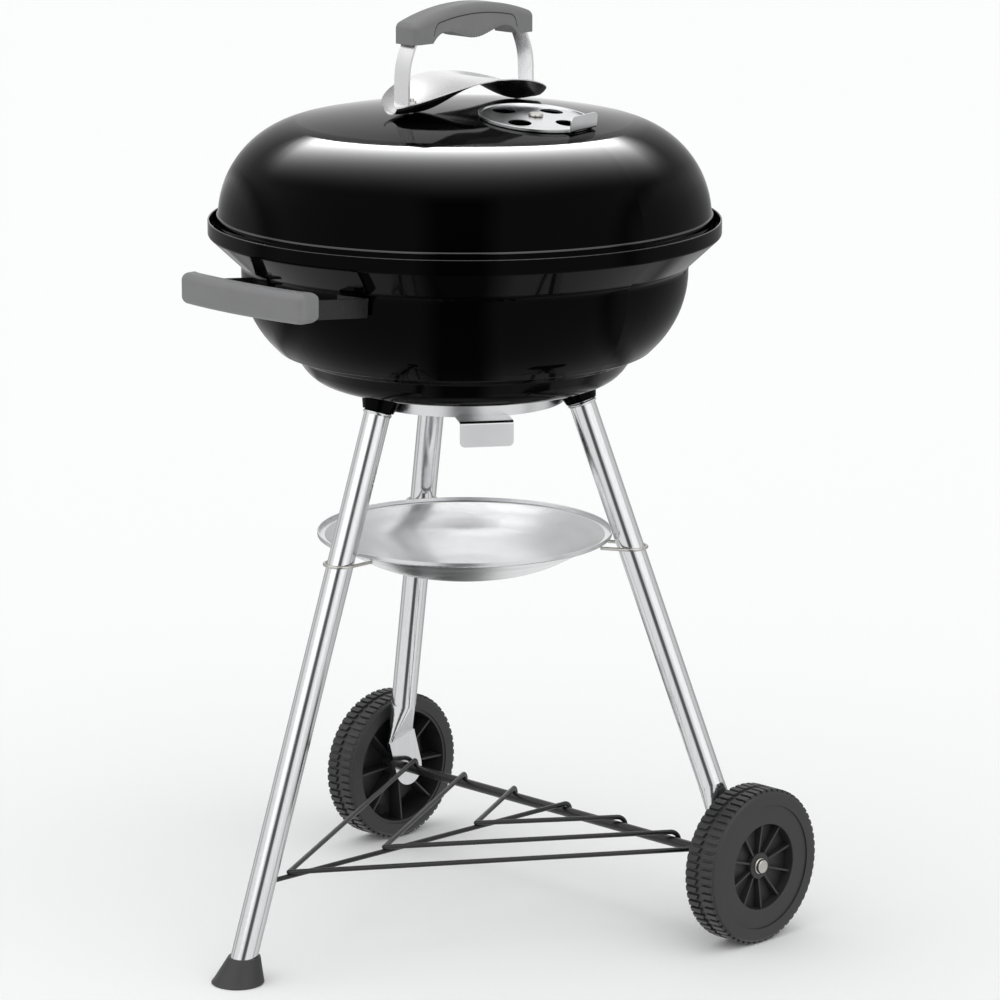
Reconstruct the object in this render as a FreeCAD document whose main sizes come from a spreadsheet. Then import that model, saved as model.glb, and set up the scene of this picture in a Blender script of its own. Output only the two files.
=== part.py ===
"""Kettle charcoal grill: a lidded bowl on three splayed legs, with two wheels, an ash pan and a wire rack.

Each sub-part is drawn round the kettle's upright axis, with the floor at height 0, the wheels at +X and -X
and the foot leg at -Y. Its Placement then moves it along Y, so that the origin of the whole grill is the
middle of its box at floor level. SIZES holds what can be set by itself, and PLACES what follows from it.
"""
import FreeCAD, Part
import math
import os
import re
from types import SimpleNamespace

import Sketcher
from FreeCAD import Placement, Rotation, Vector

SIZES = (
    # bowl
    ("rim_r", 245.0, "outer radius of the bowl's rim"),
    ("rim_z", 694.0, "height of the rim's top edge"),
    ("rim_band", 13.5, "height of the rim's upright band"),
    ("flare_reach", 31.5, "how far the flare stands out from the neck"),
    ("flare_drop", 43.0, "depth of the neck's top below the rim"),
    ("ledge_inset", 34.5, "how far the upper wall draws in from the neck to the ledge"),
    ("ledge_drop", 81.5, "height of the upper wall"),
    ("ledge_width", 17.0, "width of the ledge round the bowl"),
    ("ledge_fall", 7.0, "how far the ledge slopes down inwards"),
    ("belly_inset", 19.0, "how far the lower wall draws in below the ledge"),
    ("belly_drop", 27.0, "height of the lower wall"),
    ("bowl_wall", 1.5, "thickness of the bowl's enamelled sheet"),
    ("bowl_round", 98.0, "radius of the bowl's upper wall in section"),
    ("belly_round", 40.0, "radius between the lower wall and the floor"),
    ("flare_round", 8.0, "radius where the neck turns into the flare"),
    ("edge_round", 3.0, "radius of the bends at the ledge and the rim"),
    # air holes in the bowl's floor and the damper under it
    ("ash_hole_r", 15.0, "radius of each air hole in the floor"),
    ("ash_hole_inset", 34.5, "distance of those holes' middles from the damper's edge"),
    ("ash_disc_inset", 46.5, "how much smaller the lower damper is than the bowl's floor"),
    ("ash_disc_flare", 0.5, "how much wider the lower damper is at its top"),
    ("ash_disc_drop", 16.0, "depth of the lower damper's dish"),
    ("ash_disc_wall", 1.2, "sheet thickness of the lower damper"),
    ("ash_lever_angle", -35.0, "angle of the damper's lever from +X"),
    ("ash_lever_out", 25.5, "how far the lever stands out from the damper"),
    ("ash_lever_width", 51.0, "width of the lever"),
    ("ash_lever_tab", 23.0, "height of the lever's turned-down tab"),
    ("socket_clear", 1.2, "clearance between the lower damper and the leg sockets"),
    ("damper_gap", 0.4, "clearance between a damper and the sheet it slides on"),
    ("rivet_r", 3.5, "radius of both dampers' pivot rivets"),
    ("rivet_gap", 0.06, "radial clearance of a damper on its rivet"),
    # lid
    ("lid_gap", 0.6, "clearance between the lid and the flare it rests on"),
    ("lid_rim_gap", 2.0, "radial clearance between the lid's lip and the rim"),
    ("lid_lip_reach", 5.7, "how far the lip stands out from the lid's wall"),
    ("lid_lip_rise", 11.5, "height of the lip"),
    ("lid_wall", 1.3, "thickness of the lid's enamelled sheet"),
    ("lid_draft", 7.5, "how far the lid's wall leans in up to its shoulder"),
    ("shoulder_drop", 30.15, "how far the shoulder's corner lies below the lid's top"),
    ("lid_rise", 109.85, "height of the lid's top above the rim"),
    ("crown_inset", 144.97, "distance between the corners of the lid's shoulder and crown"),
    ("crown_round", 755.0, "radius of the lid's crown in section"),
    ("shoulder_round", 94.0, "radius of the lid's shoulder in section"),
    # vent and damper on the lid
    ("vent_r", 94.0, "distance of the lid vent's centre from the axis"),
    ("vent_disc_r", 54.0, "radius of the lid damper"),
    ("vent_hole_r", 11.0, "radius of each of its holes"),
    ("vent_hole_pitch", 33.0, "distance of those holes from its centre"),
    ("vent_hole_angle", 18.0, "angle of the first hole from the direction of +X"),
    ("vent_disc_wall", 1.2, "sheet thickness of the lid damper"),
    ("vent_disc_rim", 1.6, "height of the lid damper's raised rim"),
    ("vent_tab_width", 42.0, "width of the lid damper's thumb tab"),
    ("vent_tab_height", 15.0, "height of that tab"),
    ("vent_tab_angle", 9.0, "angle of the tab from the direction of +X"),
    # lid handle
    ("grip_length", 160.0, "length of the lid handle's grip"),
    ("grip_width", 30.0, "width of the grip"),
    ("grip_rise", 95.65, "height of the grip's highest point above the lid"),
    ("grip_crown", 14.5, "how much lower the grip's ends are on top"),
    ("grip_depth", 33.5, "height of the grip from its end blocks' underside"),
    ("grip_block", 24.0, "length of each end block"),
    ("grip_hollow", 9.0, "how far the underside rises between end block and belly"),
    ("grip_round", 7.0, "rounding of the grip's edges"),
    ("strap_width", 19.0, "width of the lid handle's straps"),
    ("strap_wall", 2.5, "thickness of the straps"),
    ("strap_inset", 14.0, "distance of a strap's top from the grip's end"),
    ("strap_lean", 17.0, "how far a strap leans in from its foot to its top"),
    ("strap_sink", 14.0, "how far a strap reaches up into the grip"),
    ("strap_foot_length", 22.0, "length of a strap's turned-in foot"),
    ("strap_lift", 4.6, "height of a strap's foot above the shield's trough"),
    ("bolt_head", 2.5, "height of the handles' bolt heads"),
    ("handle_bolt_r", 3.0, "radius of the handles' bolts"),
    ("bolt_gap", 0.2, "radial clearance of a bolt in its holes"),
    # heat shield under the lid handle
    ("shield_length", 196.0, "length of the heat shield"),
    ("shield_edge_fall", 0.76, "share of the shield's rise that its edges lose towards the ends"),
    ("shield_width", 90.0, "width of the heat shield at its middle"),
    ("shield_rise", 24.65, "height of the shield's middle above the lid"),
    ("shield_wall", 1.0, "thickness of the shield's sheet"),
    ("shield_gap", 0.5, "clearance between the shield's ends and the lid"),
    # side handle
    ("side_grip_length", 166.0, "length of the side grip"),
    ("side_grip_reach", 52.0, "how far the side grip's front stands out from the rim"),
    ("side_grip_depth", 25.0, "thickness of the side grip, front to back"),
    ("side_grip_height", 29.0, "height of the side grip"),
    ("side_grip_drop", 42.5, "depth of the side grip's middle below the rim"),
    ("side_grip_bow", 7.0, "how much the side grip's front bows out"),
    ("side_grip_round", 9.0, "rounding of the side grip's front corners"),
    ("side_grip_cheek", 14.0, "length of the turned-back stretch at each end of the side grip"),
    ("side_grip_tail", 4.0, "how far the side grip's ends turn back"),
    ("side_strap_x", 79.0, "distance of the side handle's arms from the middle"),
    ("side_strap_wall", 3.0, "thickness of the side handle's strap"),
    ("side_strap_height", 18.0, "height of that strap"),
    ("side_strap_slope", 5.6, "slope of the arms down to the bowl, in degrees"),
    ("side_tab_drop", 9.0, "depth of the middle of the strap's tabs below the neck's top"),
    ("side_tab_gap", 2.3, "standoff of the tabs from the neck"),
    ("side_tab_angle", 8.5, "angle round the bowl that a tab covers, in degrees"),
    # legs
    ("leg_r", 12.7, "outer radius of the leg tubes"),
    ("leg_wall", 1.2, "wall of the leg tubes"),
    ("leg_reach", 55.5, "how far a leg's centreline stands out from the rim at the floor"),
    ("leg_inset", 27.0, "how far it lies in from the bowl's floor edge at the socket"),
    ("leg_drop", 15.5, "depth of the bead on a leg below the bowl's floor"),
    ("leg_bead", 1.5, "how far the bead stands out"),
    ("leg_insert", 9.0, "how far a leg reaches past its bead into the socket"),
    ("socket_wall", 2.0, "wall of a leg socket at its mouth"),
    ("socket_flare", 14.0, "how much wider a socket is where it meets the bowl"),
    ("socket_gap", 0.1, "radial clearance of a leg in its socket and foot"),
    ("foot_r", 25.0, "radius of the foot at the floor"),
    ("foot_height", 24.0, "height of the foot"),
    ("foot_wall", 2.6, "wall of the foot at its top"),
    ("foot_sole", 6.0, "thickness of the foot under its leg"),
    # wheels
    ("wheel_r", 76.3, "radius of a wheel"),
    ("wheel_width", 37.0, "width of a wheel"),
    ("wheel_gap", 3.5, "clearance between a wheel and its leg"),
    ("tyre_depth", 15.3, "depth of the tyre, tread to rim"),
    ("hub_web_r", 42.0, "radius of the hub's recess"),
    ("hub_boss_r", 13.0, "radius of the hub's boss"),
    ("hub_wall", 3.0, "wall of the hub's mouldings"),
    ("fin_count", 10.0, "number of fins in the hub's recess"),
    ("rib_count", 8.0, "number of ribs behind the hub"),
    ("rib_wall", 2.0, "thickness of the ribs and fins"),
    ("axle_r", 5.0, "radius of the axle"),
    ("axle_gap", 0.06, "radial clearance of the axle in a hub"),
    ("axle_set", 3.8, "how far the axle lies behind the wheel legs' own line"),
    ("paddle_set", 10.8, "how far a leg's flattened end lies in from that line"),
    ("paddle_wall", 4.6, "thickness of that flattened end"),
    ("paddle_width", 36.0, "width of that flattened end"),
    ("paddle_length", 35.7, "length of the wholly flat end above the axle"),
    ("squeeze_length", 40.0, "height over which a wheel leg goes from round to flat"),
    ("squeeze_swell", 0.1, "how much wider than the tube the squeezed end starts"),
    # wire rack
    ("wire_r", 2.4, "radius of the rack's wires"),
    ("rack_front_rise", 13.7, "how much higher the rack is at the foot leg than the axle"),
    ("rack_side_gap", 7.4, "distance of the outer wires' ends from the wheel legs"),
    ("rack_spread", 60.0, "angle of the rack's wires from the axle, in degrees"),
    ("hook_gap", 0.3, "clearance of the wires' hooks round the axle"),
    # ash pan
    ("pan_hang", 131.0, "depth of the ash pan's rim below the leg sockets"),
    ("pan_clear", 7.22, "clearance between the ash pan's rim and the legs"),
    ("pan_lip", 5.0, "height of the ash pan's lip"),
    ("pan_depth", 38.5, "depth of the ash pan"),
    ("pan_side_reach", 68.5, "distance of the corner between floor and side from the rim"),
    ("pan_round", 130.0, "radius of the pan's side in section"),
    ("pan_wall", 1.2, "sheet thickness of the pan"),
    ("clip_wire_r", 1.6, "radius of the pan clips' wire"),
    ("clip_overlap", 2.8, "how far a clip's tails reach in under the pan's rim"),
    ("pan_gap", 0.4, "clearance between the pan and its clips"),
    # grates
    ("grate_gap", 0.5, "clearance between a grate and the bowl"),
    ("grate_ring_r", 2.5, "radius of the grates' ring wire"),
    ("grate_bar_r", 2.0, "radius of the grates' bars"),
    ("grate_weld", 0.6, "how deep crossing wires are welded into each other"),
    ("cooking_seat", 3.5, "how much larger the cooking grate's ring is than the neck"),
    ("cooking_bar_pitch", 16.0, "spacing of the cooking grate's bars"),
    ("charcoal_seat", 5.0, "how far up the ledge the charcoal grate's ring sits"),
    ("charcoal_bar_pitch", 24.0, "spacing of the charcoal grate's bars"),
)

PLACES = {
    "axis_y": "(leg_foot_r + foot_r - rim_r) / 2",
    # bowl and lower damper
    "neck_r": "rim_r - flare_reach",
    "neck_z": "rim_z - flare_drop",
    "ledge_r": "neck_r - ledge_inset",
    "ledge_z": "neck_z - ledge_drop",
    "step_r": "ledge_r - ledge_width",
    "step_z": "ledge_z - ledge_fall",
    "belly_r": "step_r - belly_inset",
    "floor_z": "step_z - belly_drop",
    "ash_disc_r": "belly_r - ash_disc_inset",
    "ash_hole_pitch": "ash_disc_r - ash_hole_inset",
    "ash_lever_reach": "ash_disc_r + ash_lever_out",
    # lid and its handle
    "lip_r": "rim_r - bowl_wall - lid_rim_gap",
    "lid_r": "lip_r - lid_lip_reach",
    "shoulder_r": "lid_r - lid_draft",
    "crown_r": "shoulder_r - crown_inset",
    "lid_top_z": "rim_z + lid_rise",
    "grip_top_z": "lid_top_z + grip_rise",
    "grip_end_z": "grip_top_z - grip_depth",
    "strap_top_y": "grip_length / 2 - strap_inset",
    "strap_foot_y": "strap_top_y + strap_lean",
    "shield_top_z": "lid_top_z + shield_rise",
    # side handle
    "side_grip_front_y": "rim_r + side_grip_reach",
    "side_grip_z": "rim_z - side_grip_drop",
    "side_tab_z": "neck_z - side_tab_drop",
    # legs, wheels and rack
    "leg_foot_r": "rim_r + leg_reach",
    "leg_top_r": "belly_r - leg_inset",
    "leg_top_z": "floor_z - leg_drop",
    "leg_axle_r": "leg_foot_r - (leg_foot_r - leg_top_r) * wheel_r / leg_top_z",
    "axle_y": "leg_axle_r / 2 + axle_set",
    "paddle_x": "leg_axle_r * sqrt(3) / 2 - paddle_set",
    "paddle_top_z": "wheel_r + paddle_length",
    "paddle_start_z": "paddle_top_z + squeeze_length",
    "wheel_face_x": "paddle_x + paddle_wall / 2 + wheel_gap + wheel_width",
    "rack_front_z": "wheel_r + rack_front_rise",
    "rack_reach": "paddle_x - paddle_wall / 2 - rack_side_gap",
    # ash pan
    "pan_rim_z": "leg_top_z - pan_hang",
    "leg_pan_r": "leg_foot_r - (leg_foot_r - leg_top_r) * pan_rim_z / leg_top_z",
    "pan_r": "leg_pan_r - leg_r - pan_clear",
    "pan_floor_r": "pan_r - pan_side_reach",
    # grates
    "cooking_grate_r": "neck_r + cooking_seat",
    "charcoal_grate_r": "step_r + charcoal_seat",
}
LEG_ANGLES = {"front": 270.0, "right": 30.0, "left": 150.0}
X_AXIS = Vector(1, 0, 0)
Y_AXIS = Vector(0, 1, 0)
Z_AXIS = Vector(0, 0, 1)

doc = FreeCAD.newDocument("KettleGrill")
sheet = doc.addObject("Spreadsheet::Sheet", "Sizes")
for row, (alias, value, note) in enumerate(SIZES, 1):
    sheet.set(f"A{row}", note)
    sheet.set(f"B{row}", str(value))
    sheet.setAlias(f"B{row}", alias)
doc.recompute()

NAME = re.compile(r"\b[a-z]+_\w+\b")
nodes = []


# ---- the sheet, the document and its sketches ----

def in_cells(formula):
    """The formula with each place spelled out, until only cells of the sheet are left."""
    while any(name in PLACES for name in NAME.findall(formula)):
        formula = NAME.sub(lambda found: f"({PLACES.get(found[0], found[0])})", formula)
    return formula


def bound(formula):
    """The formula with each cell's alias turned into a reference to the sheet."""
    return NAME.sub(lambda found: f"Sizes.{found[0]}", in_cells(formula))


def size(formula):
    """What the formula is worth with the sheet as it is."""
    return float(sheet.evalExpression(in_cells(formula)))


mm = SimpleNamespace(**{alias: size(alias) for alias in [entry[0] for entry in SIZES] + list(PLACES)})


def node(part, label, along="0", across="0", up="0"):
    """Name a sub-part and place it: its own offset, plus the shift of the kettle's axis along Y."""
    part.Label = label
    for way, formula in (("x", along), ("y", f"axis_y + {across}"), ("z", up)):
        part.setExpression(f"Placement.Base.{way}", bound(formula))
    nodes.append(part)
    return part


def shaped(label, shape):
    """A sub-part whose shape is made with Part's own functions, drawn round the kettle's axis."""
    part = doc.addObject("Part::Feature", label)
    part.Shape = shape
    return node(part, label)


def sketch_on(body, name, role="XZ_Plane", lift=None):
    """An empty sketch on one of the body's own origin planes, raised along the plane's normal."""
    sketch = body.newObject("Sketcher::SketchObject", name)
    plane = next(feature for feature in body.Origin.OriginFeatures if feature.Role == role)
    sketch.AttachmentSupport = [(plane, "")]
    sketch.MapMode = "FlatFace"
    if lift:
        sketch.setExpression("AttachmentOffset.Base.z", bound(lift))
    return sketch


def hold(sketch, constraint, name, formula):
    """Add a dimension to the sketch and bind it to the sheet."""
    index = sketch.addConstraint(constraint)
    sketch.renameConstraint(index, name)
    sketch.setExpression(f"Constraints.{name}", bound(formula))


def tangent_lengths(points, radii):
    """How far from each corner its rounding starts, cut down where two roundings would meet."""
    count = len(points)
    reach = []
    for i, here in enumerate(points):
        turn = math.pi - (points[i - 1] - here).getAngle(points[(i + 1) % count] - here)
        reach.append(radii[i] * math.tan(turn / 2))
    share = [1.0] * count
    for i in range(count):
        j = (i + 1) % count
        free = 0.995 * points[i].distanceToPoint(points[j])
        if reach[i] + reach[j] > free:
            share[i] = min(share[i], free / (reach[i] + reach[j]))
            share[j] = min(share[j], free / (reach[i] + reach[j]))
    return reach, share


def trace(sketch, corners):
    """Draw a closed outline through corners, each (across, up, rounding) as formulas, None if sharp."""
    points = [Vector(size(across), size(up), 0) for across, up, rounding in corners]
    radii = [size(rounding) if rounding else 0.0 for across, up, rounding in corners]
    reach, share = tangent_lengths(points, radii)
    count = len(corners)
    leave = []
    enter = []
    for i, here in enumerate(points):
        back = reach[i] * share[i]
        enter.append(here + (points[i - 1] - here).normalize() * back)
        leave.append(here + (points[(i + 1) % count] - here).normalize() * back)
    lines = [
        sketch.addGeometry(Part.LineSegment(leave[i], enter[(i + 1) % count]))
        for i in range(count)
    ]
    for i, (across, up, rounding) in enumerate(corners):
        before, after = lines[i - 1], lines[i]
        if not rounding:
            sketch.addConstraint(Sketcher.Constraint("Coincident", before, 2, after, 1))
            corner = after
        else:
            corner = round_corner(sketch, points[i], (enter[i], leave[i]), (before, after))
            arc = sketch.GeometryCount - 2
            radius = radii[i] * share[i]
            index = sketch.addConstraint(Sketcher.Constraint("Radius", arc, radius))
            if share[i] == 1.0:
                sketch.renameConstraint(index, f"round{i}")
                sketch.setExpression(f"Constraints.round{i}", bound(rounding))
        at = points[i]
        hold(sketch, Sketcher.Constraint("DistanceX", -1, 1, corner, 1, at.x), f"across{i}", across)
        hold(sketch, Sketcher.Constraint("DistanceY", -1, 1, corner, 1, at.y), f"up{i}", up)


def round_corner(sketch, corner, ends, lines):
    """Put a tangent arc between two lines, and a construction point where the lines would have met."""
    enter, leave = ends
    before, after = lines
    middle = (enter + leave) / 2
    half = middle.distanceToPoint(enter)
    depth = corner.distanceToPoint(middle)
    centre = middle + (middle - corner).normalize() * (half * half / depth)
    left_turn = (corner - enter).cross(leave - corner).z > 0
    start, end = (enter, leave) if left_turn else (leave, enter)
    first, last = (start - centre), (end - centre)
    circle = Part.Circle(centre, Z_AXIS, first.Length)
    arc = Part.ArcOfCircle(circle, math.atan2(first.y, first.x), math.atan2(last.y, last.x))
    arc_id = sketch.addGeometry(arc)
    point_id = sketch.addGeometry(Part.Point(corner), True)
    from_end, to_end = (1, 2) if left_turn else (2, 1)
    sketch.addConstraint(Sketcher.Constraint("Tangent", before, 2, arc_id, from_end))
    sketch.addConstraint(Sketcher.Constraint("Tangent", arc_id, to_end, after, 1))
    sketch.addConstraint(Sketcher.Constraint("PointOnObject", point_id, 1, before))
    sketch.addConstraint(Sketcher.Constraint("PointOnObject", point_id, 1, after))
    return point_id


def ring(sketch, name, across, up, radius):
    """Draw a circle whose centre and radius are formulas."""
    centre = Vector(size(across), size(up), 0)
    circle = sketch.addGeometry(Part.Circle(centre, Z_AXIS, size(radius)))
    hold(sketch, Sketcher.Constraint("Radius", circle, size(radius)), name, radius)
    hold(sketch, Sketcher.Constraint("DistanceX", -1, 1, circle, 3, centre.x), name + "_across", across)
    hold(sketch, Sketcher.Constraint("DistanceY", -1, 1, circle, 3, centre.y), name + "_up", up)


def new_body(name):
    return doc.addObject("PartDesign::Body", name)


def revolved(body, name, corners, about="V_Axis"):
    """Turn an outline on the body's XZ plane about its upright or its level axis."""
    sketch = sketch_on(body, name + "_outline")
    trace(sketch, corners)
    feature = body.newObject("PartDesign::Revolution", name)
    feature.Profile = sketch
    feature.ReferenceAxis = (sketch, [about])
    feature.Angle = 360
    return feature


def pad(body, name, sketch, length, symmetric=False, reverse=False):
    feature = body.newObject("PartDesign::Pad", name)
    feature.Profile = sketch
    feature.SideType = "Symmetric" if symmetric else "One side"
    feature.Reversed = reverse
    feature.setExpression("Length", bound(length))
    return feature


def cut_through(body, name, sketch):
    """Cut the sketch right through the body, both ways, and make sure that something was cut."""
    doc.recompute()
    before = body.Shape.Volume
    feature = body.newObject("PartDesign::Pocket", name)
    feature.Profile = sketch
    feature.Type = "ThroughAll"
    feature.SideType = "Symmetric"
    doc.recompute()
    if body.Shape.Volume > before - 1.0:
        raise ValueError(f"{name} cut nothing")
    return feature


def around(body, name, feature, sketch, axis, count):
    """Repeat a feature round an axis of its sketch."""
    pattern = body.newObject("PartDesign::PolarPattern", name)
    pattern.Originals = [feature]
    pattern.Axis = (sketch, [axis])
    pattern.Angle = 360
    pattern.setExpression("Occurrences", bound(count))
    body.Tip = pattern
    return pattern


# ---- plain shapes made with Part ----

def rod(start, end, radius):
    """A round bar from start to end."""
    return Part.makeCylinder(radius, start.distanceToPoint(end), start, end - start)


def bent_wire(edges, radius):
    """A round wire along a path of tangent lines and arcs."""
    path = Part.Wire(edges)
    first = path.Edges[0]
    way = first.tangentAt(first.FirstParameter)
    profile = Part.Wire(Part.makeCircle(radius, first.valueAt(first.FirstParameter), way))
    return path.makePipeShell([profile], True, True)


def turned(shape, angle):
    """A copy of the shape turned about the kettle's axis."""
    copy = shape.copy()
    copy.rotate(Vector(0, 0, 0), Z_AXIS, angle)
    return copy


def leg_radius(height):
    """Distance of a leg's centreline from the kettle's axis at a height."""
    return mm.leg_foot_r + (mm.leg_top_r - mm.leg_foot_r) * height / mm.leg_top_z


def leg_point(height):
    """A point on the foot leg's centreline."""
    return Vector(0, -leg_radius(height), height)


def lid_height(radius):
    """Height of the lid's outer face at a distance from the axis, on its crown."""
    slope = math.atan(mm.shoulder_drop / mm.crown_inset)
    flat = mm.crown_r - mm.crown_round * math.tan(slope / 2)
    out = max(0.0, radius - flat)
    return mm.lid_top_z - mm.crown_round + math.sqrt(mm.crown_round ** 2 - out ** 2)


def lid_lean(radius):
    """Slope of the crown at a distance from the axis, in degrees."""
    step = 0.5
    return math.degrees(math.atan((lid_height(radius - step) - lid_height(radius + step)) / (2 * step)))


def flare_height(radius):
    """Height of the flare's upper face at a distance from the axis."""
    rise = (mm.rim_z - mm.rim_band - mm.neck_z) / (mm.rim_r - mm.neck_r)
    return mm.neck_z + mm.bowl_wall + (radius - mm.neck_r + mm.bowl_wall) * rise


# ---- bowl ----

def bowl_corners():
    """The bowl's section: the outside from the middle of its floor to the rim, and back down the inside."""
    outside = (
        ("0", "floor_z", None),
        ("belly_r", "floor_z", "belly_round"),
        ("step_r", "step_z", "edge_round"),
        ("ledge_r", "ledge_z", "edge_round"),
        ("neck_r", "ledge_z + neck_r - ledge_r", "bowl_round"),
        ("neck_r", "neck_z", "flare_round"),
        ("rim_r", "rim_z - rim_band", "edge_round"),
    )
    inside_rounds = (
        None,
        "belly_round - bowl_wall",
        "edge_round + bowl_wall",
        "edge_round - bowl_wall",
        "bowl_round - bowl_wall",
        "flare_round + bowl_wall",
        "edge_round - bowl_wall",
    )
    inside = [
        (across if across == "0" else f"{across} - bowl_wall", f"{up} + bowl_wall", rounding)
        for (across, up, outer), rounding in zip(outside, inside_rounds)
    ]
    lip = (("rim_r", "rim_z", "bowl_wall / 3"), ("rim_r - bowl_wall", "rim_z", "bowl_wall / 3"))
    return list(outside) + list(lip) + inside[::-1]


def side_bolt_angle():
    """Angle from -Y to the middle of a side handle tab, in degrees."""
    end = math.degrees(math.asin(mm.side_strap_x / (mm.neck_r + mm.side_tab_gap)))
    return end - mm.side_tab_angle / 2


def make_bowl():
    body = new_body("bowl_shell")
    revolved(body, "bowl_wall", bowl_corners())
    holes = sketch_on(body, "air_holes", "XY_Plane")
    ring(holes, "air_hole", "ash_hole_pitch", "0", "ash_hole_r")
    first = cut_through(body, "air_hole_cut", holes)
    around(body, "air_hole_pattern", first, holes, "N_Axis", "3")
    rivet = sketch_on(body, "rivet_hole", "XY_Plane")
    ring(rivet, "rivet", "0", "0", "rivet_r")
    cut_through(body, "rivet_cut", rivet)
    for side in (-1, 1):
        hole = body.newObject("PartDesign::SubtractiveCylinder", "bolt_hole")
        hole.setExpression("Radius", bound("handle_bolt_r + bolt_gap"))
        hole.setExpression("Height", bound("bowl_wall * 20"))
        around_axis = Rotation(Z_AXIS, side * side_bolt_angle())
        out = around_axis.multVec(Vector(0, -1, 0))
        hole.Placement = Placement(out * (mm.neck_r - mm.bowl_wall * 12), Rotation(Z_AXIS, out))
        hole.setExpression("Placement.Base.z", bound("side_tab_z"))
    return node(body, "bowl_shell")


def make_sockets(bowl):
    """Three flared cups welded under the bowl, which the legs push into."""
    along = (leg_point(mm.leg_top_z) - leg_point(0)).normalize()
    mouth = leg_point(mm.leg_top_z) + along * (mm.leg_bead + 0.6)
    inner = mm.leg_r + mm.socket_gap
    outer = inner + mm.socket_wall
    depth = 2 * (mm.step_z - mm.leg_top_z)
    flare = Part.makeCone(outer, outer + mm.socket_flare * 2, depth, mouth, along)
    swing = Part.makeCylinder(mm.ash_disc_r + mm.ash_disc_flare + mm.socket_clear, mm.floor_z)
    flare = flare.cut([Part.makeCylinder(inner, depth, mouth, along), swing])
    bowl_shape = bowl.Shape.copy()
    bowl_shape.translate(Vector(0, -mm.axis_y, 0))
    for name, angle in LEG_ANGLES.items():
        pieces = turned(flare, angle - 270).cut(bowl_shape).Solids
        shaped(f"leg_socket_{name}", min(pieces, key=lambda piece: piece.CenterOfMass.z))


# ---- lid ----

FLARE_SLOPE = "(rim_z - rim_band - neck_z) / (rim_r - neck_r)"
FLARE_AT_LIP = f"(neck_z + bowl_wall + (lip_r - neck_r + bowl_wall) * {FLARE_SLOPE})"


def make_lid():
    body = new_body("lid_shell")
    lip_z = f"lid_gap + {FLARE_AT_LIP} + lid_wall"
    corners = (
        ("lip_r", lip_z, None),
        ("lid_r", f"{lip_z} + lid_lip_rise", "edge_round * 2"),
        ("shoulder_r", "lid_top_z - shoulder_drop", "shoulder_round"),
        ("crown_r", "lid_top_z", "crown_round"),
        ("0", "lid_top_z", None),
        ("0", "lid_top_z - lid_wall", None),
        ("crown_r", "lid_top_z - lid_wall", "crown_round - lid_wall"),
        ("shoulder_r - lid_wall", "lid_top_z - shoulder_drop - lid_wall", "shoulder_round - lid_wall"),
        ("lid_r - lid_wall", f"{lip_z} + lid_lip_rise - lid_wall * 0.3", "edge_round * 2 + lid_wall"),
        ("lip_r - lid_wall * 0.9", f"{lip_z} - lid_wall * 0.45", None),
    )
    revolved(body, "lid_wall", corners)
    vent = sketch_on(body, "vent_holes", "XY_Plane")
    vent.AttachmentOffset = vent_placement()
    for number in range(4):
        angle = math.radians(mm.vent_hole_angle + 90 * number)
        across, up = math.cos(angle), math.sin(angle)
        centre = f"vent_hole_pitch * {across}", f"vent_hole_pitch * {up}"
        ring(vent, f"vent_hole{number}", *centre, "vent_hole_r")
    ring(vent, "vent_rivet", "0", "0", "rivet_r")
    cut_through(body, "vent_cut", vent)
    bolts = sketch_on(body, "handle_bolt_holes", "XY_Plane")
    for side in (-1, 1):
        ring(bolts, f"bolt{side + 1}", "0", f"{side * handle_bolt_y()}", "handle_bolt_r + bolt_gap")
    cut_through(body, "bolt_cut", bolts)
    return node(body, "lid_shell")


def vent_placement():
    """The lid vent's own frame: on the crown, with +Z along its normal."""
    centre = Vector(mm.vent_r, 0, lid_height(mm.vent_r))
    return Placement(centre, Rotation(Y_AXIS, lid_lean(mm.vent_r)))


def disc_fall():
    """How far the lid damper's edge lies below its middle, as the crown falls sideways, its least."""
    across = math.sin(math.radians(lid_lean(mm.vent_r))) / mm.vent_r
    return mm.vent_disc_r ** 2 / 2 * across


def disc_corners():
    """Section of the lid damper: a raised rim round a cone that is as shallow as the crown under it."""
    fall = disc_fall()
    bottom = f"damper_gap * 2 - {fall}"
    top = f"{bottom} + vent_disc_wall + vent_disc_rim"
    return (
        ("rivet_r + rivet_gap", "damper_gap * 2", None),
        ("vent_disc_r", bottom, None),
        ("vent_disc_r", top, "vent_disc_wall / 3"),
        ("vent_disc_r - vent_disc_wall * 2", top, "vent_disc_wall / 3"),
        ("vent_disc_r - vent_disc_wall * 3", f"{bottom} + vent_disc_wall", "vent_disc_wall / 2"),
        ("rivet_r + rivet_gap", "damper_gap * 2 + vent_disc_wall", None),
    )


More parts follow.
